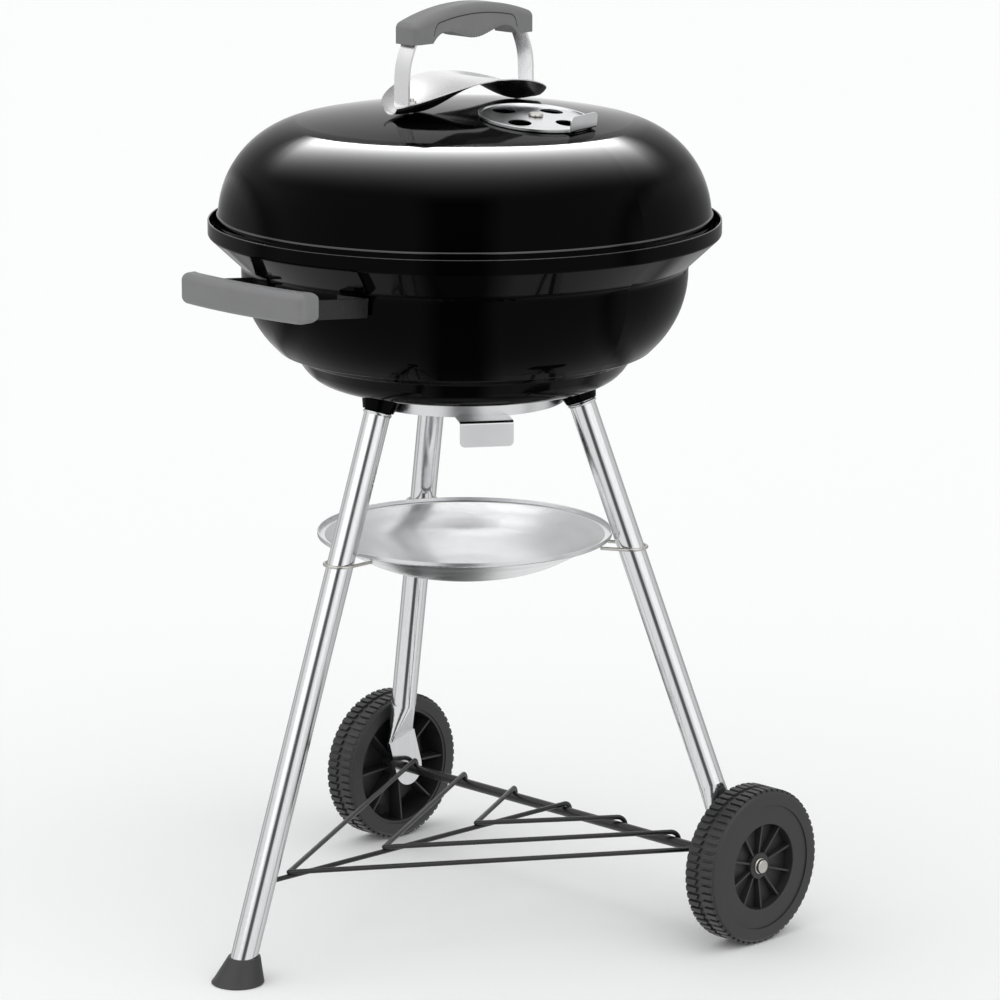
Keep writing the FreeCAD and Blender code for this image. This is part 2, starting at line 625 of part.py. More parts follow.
def make_lid_damper():
    body = new_body("lid_damper")
    revolved(body, "disc", disc_corners())
    holes = sketch_on(body, "holes", "XY_Plane")
    angle = math.radians(mm.vent_hole_angle - mm.vent_tab_angle)
    across, up = math.cos(angle), math.sin(angle)
    ring(holes, "hole", f"vent_hole_pitch * {across}", f"vent_hole_pitch * {up}", "vent_hole_r")
    first = cut_through(body, "hole_cut", holes)
    around(body, "hole_pattern", first, holes, "N_Axis", "4")
    tab = sketch_on(body, "tab_outline")
    low = f"damper_gap * 3 - {disc_fall()}"
    trace(tab, (
        ("vent_disc_r - 10", low, None),
        ("vent_disc_r + vent_disc_wall", low, "vent_disc_wall * 1.5"),
        ("vent_disc_r + vent_disc_wall", f"{low} + vent_tab_height", None),
        ("vent_disc_r", f"{low} + vent_tab_height", None),
        ("vent_disc_r", f"{low} + vent_disc_wall", "vent_disc_wall * 0.5"),
        ("vent_disc_r - 10", f"{low} + vent_disc_wall", None),
    ))
    thumb = pad(body, "tab", tab, "vent_tab_width", symmetric=True)
    doc.recompute()
    top = size(f"{low} + vent_tab_height")
    corners = [
        f"Edge{number}" for number, edge in enumerate(thumb.Shape.Edges, 1)
        if abs(edge.CenterOfMass.z - top) < 0.01 and edge.BoundBox.YLength < 0.01
    ]
    fillet = body.newObject("PartDesign::Fillet", "tab_corners")
    fillet.Base = (thumb, corners)
    fillet.Radius = min(mm.vent_tab_height, mm.vent_tab_width) / 3
    node(body, "lid_damper")
    frame = vent_placement()
    body.Placement = Placement(
        frame.Base, frame.Rotation.multiply(Rotation(Z_AXIS, mm.vent_tab_angle)))
    body.setExpression("Placement.Base.x", "Sizes.vent_r")
    body.setExpression("Placement.Base.z", f"{frame.Base.z}")
    return body


def headed_pin(name, head_r, head_height, grip_low, grip_high, shank="rivet_r"):
    """A rivet or bolt along its own Z: a shank between two heads."""
    body = new_body(name)
    revolved(body, name + "_turned", (
        ("0", f"{grip_low} - {head_height}", None),
        (head_r, f"{grip_low} - {head_height}", f"({head_height}) * 0.6"),
        (head_r, grip_low, None),
        (shank, grip_low, None),
        (shank, grip_high, None),
        (head_r, grip_high, None),
        (head_r, f"{grip_high} + {head_height}", f"({head_height}) * 0.6"),
        ("0", f"{grip_high} + {head_height}", None),
    ))
    return body


def make_lid_damper_rivet():
    low = "0 - lid_wall - 0.2"
    high = "damper_gap * 3 + vent_disc_wall"
    body = headed_pin("lid_damper_rivet", "rivet_r * 2", "2.2", low, high)
    node(body, "lid_damper_rivet")
    frame = vent_placement()
    body.Placement = frame
    body.setExpression("Placement.Base.x", "Sizes.vent_r")
    body.setExpression("Placement.Base.z", f"{frame.Base.z}")


def handle_bolt_y():
    """Distance of the lid handle's bolts from the middle."""
    return mm.strap_foot_y - mm.strap_foot_length * 0.55


def strap_shape(side):
    """One strap of the lid handle: it rises from its turned-in foot, leaning in to the grip."""
    wall = mm.strap_wall
    foot_z = lid_height(handle_bolt_y()) + mm.shield_gap + mm.strap_lift
    foot_in = mm.strap_foot_y - mm.strap_foot_length
    top_z = mm.grip_end_z + mm.strap_sink
    bend = wall * 1.6
    low = Vector(0, mm.strap_foot_y, foot_z)
    knee = Vector(0, mm.strap_foot_y - 2.5, foot_z + 0.55 * (top_z - foot_z))
    top = Vector(0, mm.strap_top_y, top_z)
    start = Vector(0, foot_in, foot_z)
    into = low + (start - low).normalize() * bend
    out = low + (knee - low).normalize() * bend
    corner = low * 0.3 + (into + out) * 0.35
    edges = [
        Part.LineSegment(start, into).toShape(),
        Part.Arc(into, corner, out).toShape(),
    ]
    way = (knee - low).normalize()
    spring = Part.BSplineCurve()
    spring.interpolate([out, knee, top], InitialTangent=way, FinalTangent=Vector(0, -0.45, 1).normalize())
    edges.append(spring.toShape())
    path = Part.Wire(edges)
    half = mm.strap_width / 2
    section = Part.makePolygon([
        start + Vector(-half, 0, -wall / 2),
        start + Vector(half, 0, -wall / 2),
        start + Vector(half, 0, wall / 2),
        start + Vector(-half, 0, wall / 2),
        start + Vector(-half, 0, -wall / 2),
    ])
    maker = Part.BRepOffsetAPI.MakePipeShell(path)
    maker.setBiNormalMode(X_AXIS)
    maker.add(section)
    maker.build()
    maker.makeSolid()
    strap = maker.shape()
    hole = Part.makeCylinder(mm.handle_bolt_r + mm.bolt_gap, 30, Vector(0, handle_bolt_y(), foot_z - 15))
    strap = strap.cut(hole)
    if side < 0:
        strap = turned(strap, 180)
    return strap


def grip_face():
    """Side outline of the lid handle's grip: arched top, end blocks and a full belly between them."""
    half = mm.grip_length / 2
    top = mm.grip_top_z
    low = mm.grip_end_z
    end_top = top - mm.grip_crown
    block = half - mm.grip_block
    hollow = low + mm.grip_hollow
    over = Part.Arc(Vector(0, -half, end_top), Vector(0, 0, top), Vector(0, half, end_top)).toShape()
    right = Part.LineSegment(Vector(0, half, end_top), Vector(0, half, low)).toShape()
    foot_right = Part.LineSegment(Vector(0, half, low), Vector(0, block, low)).toShape()
    foot_left = Part.LineSegment(Vector(0, -block, low), Vector(0, -half, low)).toShape()
    left = Part.LineSegment(Vector(0, -half, low), Vector(0, -half, end_top)).toShape()
    under = Part.BSplineCurve()
    under.interpolate([
        Vector(0, block, low),
        Vector(0, block * 0.78, hollow),
        Vector(0, 0, low + 1.5),
        Vector(0, -block * 0.78, hollow),
        Vector(0, -block, low),
    ])
    return Part.Face(Part.Wire([over, right, foot_right, under.toShape(), foot_left, left]))


def make_lid_handle():
    straps = [strap_shape(side) for side in (-1, 1)]
    face = grip_face()
    face.translate(Vector(-mm.grip_width / 2, 0, 0))
    grip = face.extrude(Vector(mm.grip_width, 0, 0))
    half = mm.grip_length / 2
    rounded = [
        edge for edge in grip.Edges
        if abs(edge.CenterOfMass.y) > half - 0.1 and edge.BoundBox.XLength < 0.1
        or edge.CenterOfMass.z > mm.grip_end_z + mm.grip_crown
    ]
    grip = grip.makeFillet(mm.grip_round, rounded)
    for strap in straps:
        grip = grip.cut(strap)
    shaped("lid_handle_grip", grip)
    shaped("lid_handle_strap_front", straps[0])
    shaped("lid_handle_strap_rear", straps[1])
    bolts = []
    bolt_y = handle_bolt_y()
    slant = mm.handle_bolt_r * 2 * math.tan(math.radians(lid_lean(bolt_y)))
    under = lid_height(bolt_y) - mm.lid_wall - slant
    over = lid_height(bolt_y) + mm.shield_gap + mm.strap_lift + mm.strap_wall / 2
    for side in (-1, 1):
        at = Vector(0, side * bolt_y, 0)
        shank = Part.makeCylinder(mm.handle_bolt_r, over - under + 8, at + Vector(0, 0, under - 1))
        head_z = under - mm.bolt_head
        head = Part.makeCylinder(mm.handle_bolt_r * 1.9, mm.bolt_head, at + Vector(0, 0, head_z))
        nut = hex_prism(mm.handle_bolt_r * 1.75, mm.handle_bolt_r * 1.6, at + Vector(0, 0, over))
        bolts.append(shank.fuse([head, nut]).removeSplitter())
    shaped("lid_handle_bolts", Part.makeCompound(bolts))


def hex_prism(across, height, at):
    """A hexagon of a given half width over its corners, standing on a point."""
    corners = [at + Vector(across * math.cos(k * math.pi / 3), across * math.sin(k * math.pi / 3), 0)
               for k in range(7)]
    return Part.Face(Part.makePolygon(corners)).extrude(Vector(0, 0, height))


def shield_section(along):
    """Closed section of the heat shield at a place along it: a thin trough, wide and high in the middle."""
    far = abs(along) / (mm.shield_length / 2)
    seat = lid_height(handle_bolt_y()) + mm.shield_gap
    rise = mm.shield_top_z - seat
    bolt = handle_bolt_y() / (mm.shield_length / 2)
    bridge = 0.5 + 0.5 * math.cos(math.pi * min(1.0, far / bolt))
    middle = seat + rise * bridge
    edge = mm.shield_top_z - rise * mm.shield_edge_fall * far ** 2
    edge = max(edge, middle + 0.4)
    half = mm.shield_width / 2 * math.sqrt(max(0.0, 1 - 0.96 * far ** 2.2))
    over = Vector(0, 0, mm.shield_wall)
    low = [Vector(-half, along, edge), Vector(0, along, middle), Vector(half, along, edge)]
    bottom = Part.Arc(*low).toShape()
    top = Part.Arc(*[point + over for point in reversed(low)]).toShape()
    right = Part.LineSegment(low[2], low[2] + over).toShape()
    left = Part.LineSegment(low[0] + over, low[0]).toShape()
    return Part.Wire([bottom, right, top, left])


def make_heat_shield():
    stations = [k / 14 * mm.shield_length / 2 for k in range(-14, 15)]
    shield = Part.makeLoft([shield_section(along) for along in stations], True, False)
    for side in (-1, 1):
        at = Vector(0, side * handle_bolt_y(), mm.lid_top_z - 20)
        shield = shield.cut(Part.makeCylinder(mm.handle_bolt_r + mm.bolt_gap, 60, at))
    shaped("lid_heat_shield", shield)


# ---- side handle ----

def side_strap_plan():
    """Plan of the side handle's strap: a bar behind the grip's front, two arms and two turned-in tabs."""
    inner = mm.neck_r + mm.side_tab_gap
    outer = inner + mm.side_strap_wall
    x = mm.side_strap_x
    wall = mm.side_strap_wall
    front = mm.side_grip_front_y - mm.side_grip_depth / 2
    end = math.asin(x / inner)
    start = end - math.radians(mm.side_tab_angle)
    middle = (start + end) / 2
    outer_end = math.asin((x - wall) / outer)
    outer_middle = (start + outer_end) / 2

    def around_neck(radius, angle, side):
        return Vector(side * radius * math.sin(angle), -radius * math.cos(angle), 0)

    def half(side):
        tab_in = Part.Arc(
            around_neck(inner, start, side), around_neck(inner, middle, side), around_neck(inner, end, side))
        tab_out = Part.Arc(
            around_neck(outer, outer_end, side), around_neck(outer, outer_middle, side),
            around_neck(outer, start, side))
        return tab_in, tab_out

    right_in, right_out = half(1)
    left_in, left_out = half(-1)

    def line(first, second):
        return Part.LineSegment(first, second).toShape()

    corners = [Vector(x, -front, 0), Vector(-x, -front, 0)]
    inner_corners = [Vector(wall - x, wall - front, 0), Vector(x - wall, wall - front, 0)]
    outline = [
        right_in.toShape(),
        line(around_neck(inner, end, 1), corners[0]),
        line(corners[0], corners[1]),
        line(corners[1], around_neck(inner, end, -1)),
        left_in.toShape(),
        line(around_neck(inner, start, -1), around_neck(outer, start, -1)),
        left_out.toShape(),
        line(around_neck(outer, outer_end, -1), inner_corners[0]),
        line(inner_corners[0], inner_corners[1]),
        line(inner_corners[1], around_neck(outer, outer_end, 1)),
        right_out.toShape(),
        line(around_neck(outer, start, 1), around_neck(inner, start, 1)),
    ]
    return Part.Face(Part.Wire(Part.__sortEdges__(outline)))


def make_side_handle():
    tall = 200
    strap = side_strap_plan()
    strap.translate(Vector(0, 0, mm.side_tab_z - tall / 2))
    strap = strap.extrude(Vector(0, 0, tall))
    slab = Part.makeBox(400, 400, mm.side_strap_height, Vector(-200, -400, -mm.side_strap_height / 2))
    slab.rotate(Vector(0, 0, 0), X_AXIS, -mm.side_strap_slope)
    slab.translate(Vector(0, -mm.neck_r * 0.95, mm.side_tab_z))
    strap = strap.common(slab)
    corner = mm.side_strap_x
    front = mm.side_grip_front_y - mm.side_grip_depth / 2
    bends = [
        edge for edge in strap.Edges
        if abs(abs(edge.CenterOfMass.x) - corner) < 0.1 and abs(edge.CenterOfMass.y + front) < 0.1
    ]
    strap = strap.makeFillet(mm.side_strap_wall * 2.5, bends)
    bolts = []
    for side in (-1, 1):
        out = Rotation(Z_AXIS, side * side_bolt_angle()).multVec(Vector(0, -1, 0))
        seat = out * (mm.neck_r - mm.bowl_wall - 0.3) + Vector(0, 0, mm.side_tab_z)
        long = mm.bowl_wall + mm.side_tab_gap + mm.side_strap_wall + 0.6
        strap = strap.cut(Part.makeCylinder(mm.handle_bolt_r + mm.bolt_gap, 30, seat - out * 5, out))
        shank = Part.makeCylinder(mm.handle_bolt_r, long + 1, seat - out * 0.5, out)
        head = Part.makeCylinder(mm.handle_bolt_r * 1.8, 2.4, seat + out * long, out)
        nut = Part.makeCylinder(mm.handle_bolt_r * 1.7, 4, seat - out * 4, out)
        bolts.append(shank.fuse([head, nut]).removeSplitter())
    shaped("side_handle_strap", strap)
    shaped("side_handle_bolts", Part.makeCompound(bolts))
    make_side_grip(strap)


def make_side_grip(strap):
    """The side grip: a bar with a bowed front whose ends turn back a little, moulded round the strap."""
    half = mm.side_grip_length / 2
    front = mm.side_grip_bow - mm.side_grip_front_y
    back = mm.side_grip_depth - mm.side_grip_front_y
    tail = back + mm.side_grip_tail
    cheek = half - mm.side_grip_cheek
    bowed_front = Vector(0, -mm.side_grip_front_y, 0)
    bowed_back = Vector(0, back - mm.side_grip_bow * 0.6, 0)
    corners = [Vector(half, front, 0), Vector(half, tail, 0), Vector(cheek, back, 0)]
    mirrored = [Vector(-corner.x, corner.y, 0) for corner in corners]
    outline = Part.Wire([
        Part.Arc(mirrored[0], bowed_front, corners[0]).toShape(),
        Part.LineSegment(corners[0], corners[1]).toShape(),
        Part.LineSegment(corners[1], corners[2]).toShape(),
        Part.Arc(corners[2], bowed_back, mirrored[2]).toShape(),
        Part.LineSegment(mirrored[2], mirrored[1]).toShape(),
        Part.LineSegment(mirrored[1], mirrored[0]).toShape(),
    ])
    face = Part.Face(outline)
    face.translate(Vector(0, 0, mm.side_grip_z - mm.side_grip_height / 2))
    grip = face.extrude(Vector(0, 0, mm.side_grip_height))
    upright = [
        edge for edge in grip.Edges
        if edge.BoundBox.ZLength > mm.side_grip_height * 0.9 and edge.CenterOfMass.y < (front + back) / 2
    ]
    grip = grip.makeFillet(mm.side_grip_round, upright)
    flat = [edge for edge in grip.Edges if edge.BoundBox.ZLength < 0.1]
    grip = grip.makeFillet(mm.side_grip_height * 0.24, flat)
    shaped("side_handle_grip", grip.cut(strap))


# ---- legs, sockets and foot ----

def make_foot_leg():
    """The front leg: a straight tube with a bead under its socket, drilled for the rack's middle wire."""
    body = new_body("leg_front")
    start = leg_point(mm.foot_sole)
    along = leg_point(mm.leg_top_z) - start
    revolved(body, "tube", (
        ("leg_r - leg_wall", "0", None),
        ("leg_r", "0", None),
        ("leg_r", f"{along.Length} - leg_bead * 1.5", None),
        ("leg_r + leg_bead", f"{along.Length}", "leg_bead"),
        ("leg_r", f"{along.Length} + leg_bead * 1.5", None),
        ("leg_r", f"{along.Length} + leg_insert", None),
        ("leg_r - leg_wall", f"{along.Length} + leg_insert", None),
    ))
    lean = Rotation(Z_AXIS, along)
    hole = body.newObject("PartDesign::SubtractiveCylinder", "rack_hole")
    hole.setExpression("Radius", bound("wire_r + bolt_gap"))
    hole.Height = 25
    local = lean.inverted()
    at = Vector(0, 3 - leg_radius(mm.rack_front_z), mm.rack_front_z) - start
    hole.Placement = Placement(local.multVec(at), Rotation(Z_AXIS, local.multVec(Y_AXIS)))
    node(body, "leg_front", up="foot_sole")
    body.Placement = Placement(body.Placement.Base, lean)
    body.setExpression("Placement.Base.y", bound(f"axis_y - {-start.y}"))


def stadium(centre, across, along_x, wide, thick):
    """A slot-shaped wire: its long way is across, its short way is along_x."""
    ends = (wide - thick) / 2
    radius = thick / 2
    a = centre + across * ends
    b = centre - across * ends
    side = along_x * radius
    return Part.Wire([
        Part.LineSegment(b + side, a + side).toShape(),
        Part.Arc(a + side, a + across * radius, a - side).toShape(),
        Part.LineSegment(a - side, b - side).toShape(),
        Part.Arc(b - side, b - across * radius, b + side).toShape(),
    ])


def wheel_leg_shape(side):
    """A wheel leg, side 1 right and -1 left: a tube squeezed flat at its lower end for the axle."""
    around_axis = Rotation(Z_AXIS, 120 * side)
    up = around_axis.multVec(leg_point(mm.leg_top_z) - leg_point(0)).normalize()
    start = around_axis.multVec(leg_point(mm.paddle_start_z))
    bead = around_axis.multVec(leg_point(mm.leg_top_z))
    axle = Vector(side * mm.paddle_x, mm.axle_y, mm.wheel_r)
    flat = Vector(side * mm.paddle_x, around_axis.multVec(leg_point(mm.paddle_top_z)).y, mm.paddle_top_z)
    down = (axle - flat).normalize()
    round_out = X_AXIS - up * X_AXIS.dot(up)
    round_out.normalize()
    tube = 2 * mm.leg_r
    sections = [
        stadium(start, round_out.cross(up), round_out, tube + 2 * mm.squeeze_swell, tube + mm.squeeze_swell),
        stadium(flat, down.cross(X_AXIS), X_AXIS, mm.paddle_width, mm.paddle_wall),
    ]
    squeeze = Part.makeLoft(sections, True, True)
    half = mm.paddle_width / 2
    wall = Vector(mm.paddle_wall, 0, 0)
    edge = down.cross(X_AXIS) * half
    shift = Vector(mm.paddle_wall / 2, 0, 0)
    corners = [flat + edge - shift, axle + edge - shift, axle - edge - shift, flat - edge - shift]
    plate = Part.Face(Part.makePolygon(corners + corners[:1])).extrude(wall)
    disc = Part.makeCylinder(half, mm.paddle_wall, axle - shift, X_AXIS)
    top = bead + up * mm.leg_insert
    leg_bead = Part.makeTorus(mm.leg_r, mm.leg_bead, bead, up)
    leg = rod(start, top, mm.leg_r).fuse([squeeze, plate, disc, leg_bead]).removeSplitter()
    leg = leg.cut(rod(start, top + up, mm.leg_r - mm.leg_wall))
    hole = Part.makeCylinder(mm.axle_r + mm.axle_gap, 40, axle - X_AXIS * 20, X_AXIS)
    return leg.cut(hole)


def make_wheel_legs():
    shaped("leg_right", wheel_leg_shape(1))
    shaped("leg_left", wheel_leg_shape(-1))


def make_foot():
    """The foot: a skewed cone with a flat base, moulded to take the leaning leg."""
    rim = 4.0
    base = leg_point(0)
    top = leg_point(mm.foot_height)
    top_r = mm.leg_r + mm.foot_wall
    wires = [
        Part.Wire(Part.makeCircle(mm.foot_r - 1, Vector(0, base.y, 0))),
        Part.Wire(Part.makeCircle(mm.foot_r, Vector(0, base.y, 1))),
        Part.Wire(Part.makeCircle(mm.foot_r - 1.5, leg_point(rim))),
        Part.Wire(Part.makeCircle(top_r, top)),
    ]
    foot = Part.makeLoft(wires, True, True)
    seat = leg_point(mm.foot_sole)
    foot = foot.cut(rod(seat, leg_point(mm.foot_height * 2), mm.leg_r + mm.socket_gap))
    shaped("foot_cap", foot)


# ---- wheels and axle ----

def make_axle():
    body = new_body("axle")
    section = sketch_on(body, "section", "YZ_Plane")
    ring(section, "rod", "0", "0", "axle_r")
    pad(body, "rod", section, "2 * (wheel_face_x - hub_wall)", symmetric=True)
    node(body, "axle", across="axle_y", up="wheel_r")
    for side, name in ((1, "right"), (-1, "left")):
        cap = new_body(f"axle_cap_{name}")
        seat = "wheel_face_x - hub_wall - 3.5"
        revolved(cap, "cup", (
            (f"{side} * ({seat})", "axle_r", None),
            (f"{side} * ({seat})", "axle_r * 1.75", "0.5"),
            (f"{side} * ({seat} + 1.5)", "axle_r * 1.4", None),
            (f"{side} * ({seat} + 4.6)", "axle_r * 1.3", "1.2"),
            (f"{side} * ({seat} + 4.6)", "0", None),
            (f"{side} * ({seat} + 3.5)", "0", None),
            (f"{side} * ({seat} + 3.5)", "axle_r", None),
        ), about="H_Axis")
        node(cap, f"axle_cap_{name}", across="axle_y", up="wheel_r")


def make_wheel(name, side):
    """Tyre and hub of one wheel, drawn round their own axis with the outer face at +X."""
    tyre = new_body(f"wheel_tyre_{name}")
    half = "wheel_width / 2"
    groove = 1.6
    revolved(tyre, "tread", (
        (f"0 - {half}", "wheel_r - tyre_depth", None),
        (half, "wheel_r - tyre_depth", None),
        (half, "wheel_r - 4", "2"),
        (f"{half} - 3.5", "wheel_r", "1.5"),
        (f"{groove}", "wheel_r", None),
        (f"{groove}", f"wheel_r - {groove}", None),
        (f"0 - {groove}", f"wheel_r - {groove}", None),
        (f"0 - {groove}", "wheel_r", None),
        (f"3.5 - {half}", "wheel_r", "1.5"),
        (f"0 - {half}", "wheel_r - 4", "2"),
    ), about="H_Axis")
    hub = new_body(f"wheel_hub_{name}")
    bore = "axle_r + axle_gap"
    barrel = "wheel_r - tyre_depth"
    back = f"1 - {half}"
    face = f"{half} - 1.2"
    web = f"{half} - 13"
    revolved(hub, "shell", (
        (f"2.8 - {half}", bore, None),
        (f"{half} - 6.5", bore, None),
        (f"{half} - 6.5", "hub_boss_r", "1"),
        (web, "hub_boss_r", None),
        (web, "hub_web_r", None),
        (face, "hub_web_r", "0.8"),
        (face, barrel, None),
        (back, barrel, None),
        (back, f"{barrel} - hub_wall", None),
        (f"{face} - hub_wall", f"{barrel} - hub_wall", None),
        (f"{face} - hub_wall", "hub_web_r + hub_wall", None),
        (f"{web} - hub_wall", "hub_web_r + hub_wall", None),
        (f"{web} - hub_wall", "hub_boss_r", None),
        (f"2.8 - {half}", "hub_boss_r", None),
    ), about="H_Axis")
    fin = sketch_on(hub, "fin_outline")
    trace(fin, (
        (f"{web} - 0.5", "hub_boss_r - 1", None),
        (f"{half} - 8", "hub_boss_r - 1", None),
        (f"{half} - 4", "hub_web_r + 0.8", None),
        (f"{web} - 0.5", "hub_web_r + 0.8", None),
    ))
    fin_pad = pad(hub, "fin", fin, "rib_wall", symmetric=True)
    doc.recompute()
    around(hub, "fins", fin_pad, fin, "H_Axis", "fin_count")
    rib = sketch_on(hub, "rib_outline")
    trace(rib, (
        (f"{web} - hub_wall + 0.5", "hub_boss_r - 1", None),
        (f"{web} - hub_wall + 0.5", f"{barrel} - hub_wall + 0.8", None),
        (f"3 - {half}", f"{barrel} - hub_wall + 0.8", None),
        (f"8 - {half}", "hub_boss_r - 1", None),
    ))
    rib_pad = pad(hub, "rib", rib, "rib_wall", symmetric=True)
    doc.recompute()
    around(hub, "ribs", rib_pad, rib, "H_Axis", "rib_count")
    middle = f"wheel_face_x - {half}"
    for part, label in ((tyre, f"wheel_tyre_{name}"), (hub, f"wheel_hub_{name}")):
        node(part, label, along=f"{side} * ({middle})", across="axle_y", up="wheel_r")
        if side < 0:
            part.Placement = Placement(part.Placement.Base, Rotation(Z_AXIS, 180))


# ---- wire rack between the foot leg and the axle ----

def rack_drop():
    """Height of a wire's centreline where it lies on top of the axle."""
    return mm.wheel_r + mm.axle_r + mm.wire_r + mm.hook_gap


def hooked_end(start, over):
    """Edges of a wire from start to above the axle, and down round the far side of it."""
    level = Vector(over.x - start.x, over.y - start.y, 0).normalize()
    skew = 1 / abs(level.y)
    radius = (mm.axle_r + mm.wire_r + mm.hook_gap) * skew
    drop = Vector(0, 0, radius)
    centre = over - drop
    turn = math.radians(80)
    middle = centre + level * (radius * math.sin(turn / 2)) + drop * math.cos(turn / 2)
    end = centre + level * (radius * math.sin(turn)) + drop * math.cos(turn)
    return [Part.LineSegment(start, over).toShape(), Part.Arc(over, middle, end).toShape()]


def make_rack():
    top_z = rack_drop()
    start = Vector(0, -leg_radius(mm.rack_front_z) + mm.leg_r * 0.4, mm.rack_front_z)
    over = Vector(0, mm.axle_y, top_z)
    shaped("rack_wire_spine", bent_wire(hooked_end(start, over), mm.wire_r))
    spread = math.radians(mm.rack_spread)
    fall = (start.z - over.z) / (over.y - start.y)
    for number, name in enumerate(("outer", "middle", "inner")):
        reach = mm.rack_reach * (3 - number) / 3
        apex_y = mm.axle_y - reach * math.tan(spread)
        apex_z = over.z + fall * (over.y - apex_y) + 2 * mm.wire_r - mm.grate_weld
        apex = Vector(0, apex_y, apex_z)
        skew_r = (mm.axle_r + mm.wire_r + mm.hook_gap) / math.sin(spread)
        end_z = mm.wheel_r + skew_r
        arms = []
        for side in (1, -1):
            end = Vector(side * reach, mm.axle_y, end_z)
            arms.append(bent_wire(hooked_end(apex, end), mm.wire_r))
        knob = Part.makeSphere(mm.wire_r, apex)
        shaped(f"rack_wire_{name}", arms[0].fuse([arms[1], knob]).removeSplitter())


# ---- ash pan and its clips ----

def make_ash_pan():
    body = new_body("ash_pan")
    floor = "pan_rim_z - pan_depth"
    lip = "pan_rim_z - pan_lip"
    inside = "pan_r - pan_wall - pan_lip"
    revolved(body, "dish", (
        ("0", floor, None),
        ("pan_floor_r", floor, "pan_round"),
        (inside, lip, "pan_wall * 2"),
        ("pan_r", lip, "pan_wall * 1.5"),
        ("pan_r", "pan_rim_z", "pan_wall / 3"),
        ("pan_r - pan_wall", "pan_rim_z", "pan_wall / 3"),
        ("pan_r - pan_wall", f"{lip} + pan_wall", "pan_wall / 2"),
        (f"{inside} - pan_wall * 0.6", f"{lip} + pan_wall", "pan_wall"),
        ("pan_floor_r - pan_wall * 0.3", f"{floor} + pan_wall", "pan_round - pan_wall"),
        ("0", f"{floor} + pan_wall", None),
    ))
    return node(body, "ash_pan")


def make_clips():
    """Three wire clips: each loops round the outside of a leg, and its two tails carry the pan's lip."""
    height = mm.pan_rim_z - mm.pan_lip - mm.clip_wire_r - mm.pan_gap
    leg = leg_point(height)
    lean = math.cos(math.atan((mm.leg_foot_r - mm.leg_top_r) / mm.leg_top_z))
    radius = mm.leg_r / lean + mm.clip_wire_r + mm.socket_gap
    tail = mm.clip_overlap - leg.y - math.sqrt(mm.pan_r ** 2 - radius ** 2)
    right = Vector(radius, leg.y, height)
    left = Vector(-radius, leg.y, height)
    back = Vector(0, leg.y - radius, height)
    edges = [
        Part.LineSegment(right + Vector(0, tail, 0), right).toShape(),
        Part.Arc(right, back, left).toShape(),
        Part.LineSegment(left, left + Vector(0, tail, 0)).toShape(),
    ]
    clip = bent_wire(edges, mm.clip_wire_r)
    for name, angle in LEG_ANGLES.items():
        shaped(f"pan_clip_{name}", turned(clip, angle - 270))


# ---- lower damper ----

def make_bowl_damper():
    body = new_body("bowl_damper")
    top = "floor_z - damper_gap"
    wall = "ash_disc_wall"
    rim = "ash_disc_r + ash_disc_flare"
    low = "floor_z - damper_gap - ash_disc_drop"
    revolved(body, "dish", (
        ("rivet_r + rivet_gap", f"{top}", None),
        ("rivet_r + rivet_gap", f"{top} - {wall}", None),
        (f"{rim} - {wall} * 1.5", f"{top} - {wall}", "1"),
        (f"ash_disc_r - {wall}", low, None),
        ("ash_disc_r", low, None),
        (rim, f"{top} - {wall} * 0.4", "0.8"),
        (f"{rim} - 1", f"{top}", None),
    ))
    holes = sketch_on(body, "air_holes", "XY_Plane")
    ring(holes, "air_hole", "ash_hole_pitch", "0", "ash_hole_r")
    first = cut_through(body, "air_hole_cut", holes)
    around(body, "air_hole_pattern", first, holes, "N_Axis", "3")
    turn = Rotation(Z_AXIS, mm.ash_lever_angle)
    lever = sketch_on(body, "lever_outline")
    lever.AttachmentOffset = Placement(Vector(0, 0, 0), Rotation(Y_AXIS, mm.ash_lever_angle))
    trace(lever, (
        ("ash_disc_r - 3", low, None),
        ("ash_lever_reach", low, "3"),
        ("ash_lever_reach", f"{low} - ash_lever_tab", None),
        (f"ash_lever_reach + {wall}", f"{low} - ash_lever_tab", None),
        (f"ash_lever_reach + {wall}", f"{low} + {wall}", "3.5"),
        ("ash_disc_r - 3", f"{low} + {wall}", None),
    ))
    arm = pad(body, "lever", lever, "ash_lever_width", symmetric=True)
    doc.recompute()
    bottom = size(f"{low} - ash_lever_tab")
    side = turn.multVec(Y_AXIS)
    half = mm.ash_lever_width / 2
    corners = [
        f"Edge{number}" for number, edge in enumerate(arm.Shape.Edges, 1)
        if abs(edge.CenterOfMass.z - bottom) < 0.01 and abs(abs(edge.CenterOfMass.dot(side)) - half) < 0.01
    ]
    fillet = body.newObject("PartDesign::Fillet", "lever_corners")
    fillet.Base = (arm, corners)
    fillet.Radius = mm.ash_lever_tab / 5
    node(body, "bowl_damper")


def make_bowl_damper_rivet():
    low = "floor_z - damper_gap * 2 - ash_disc_wall"
    body = headed_pin("bowl_damper_rivet", "rivet_r * 2.2", "2.5", low, "floor_z + bowl_wall")
    node(body, "bowl_damper_rivet")


# ---- grates ----

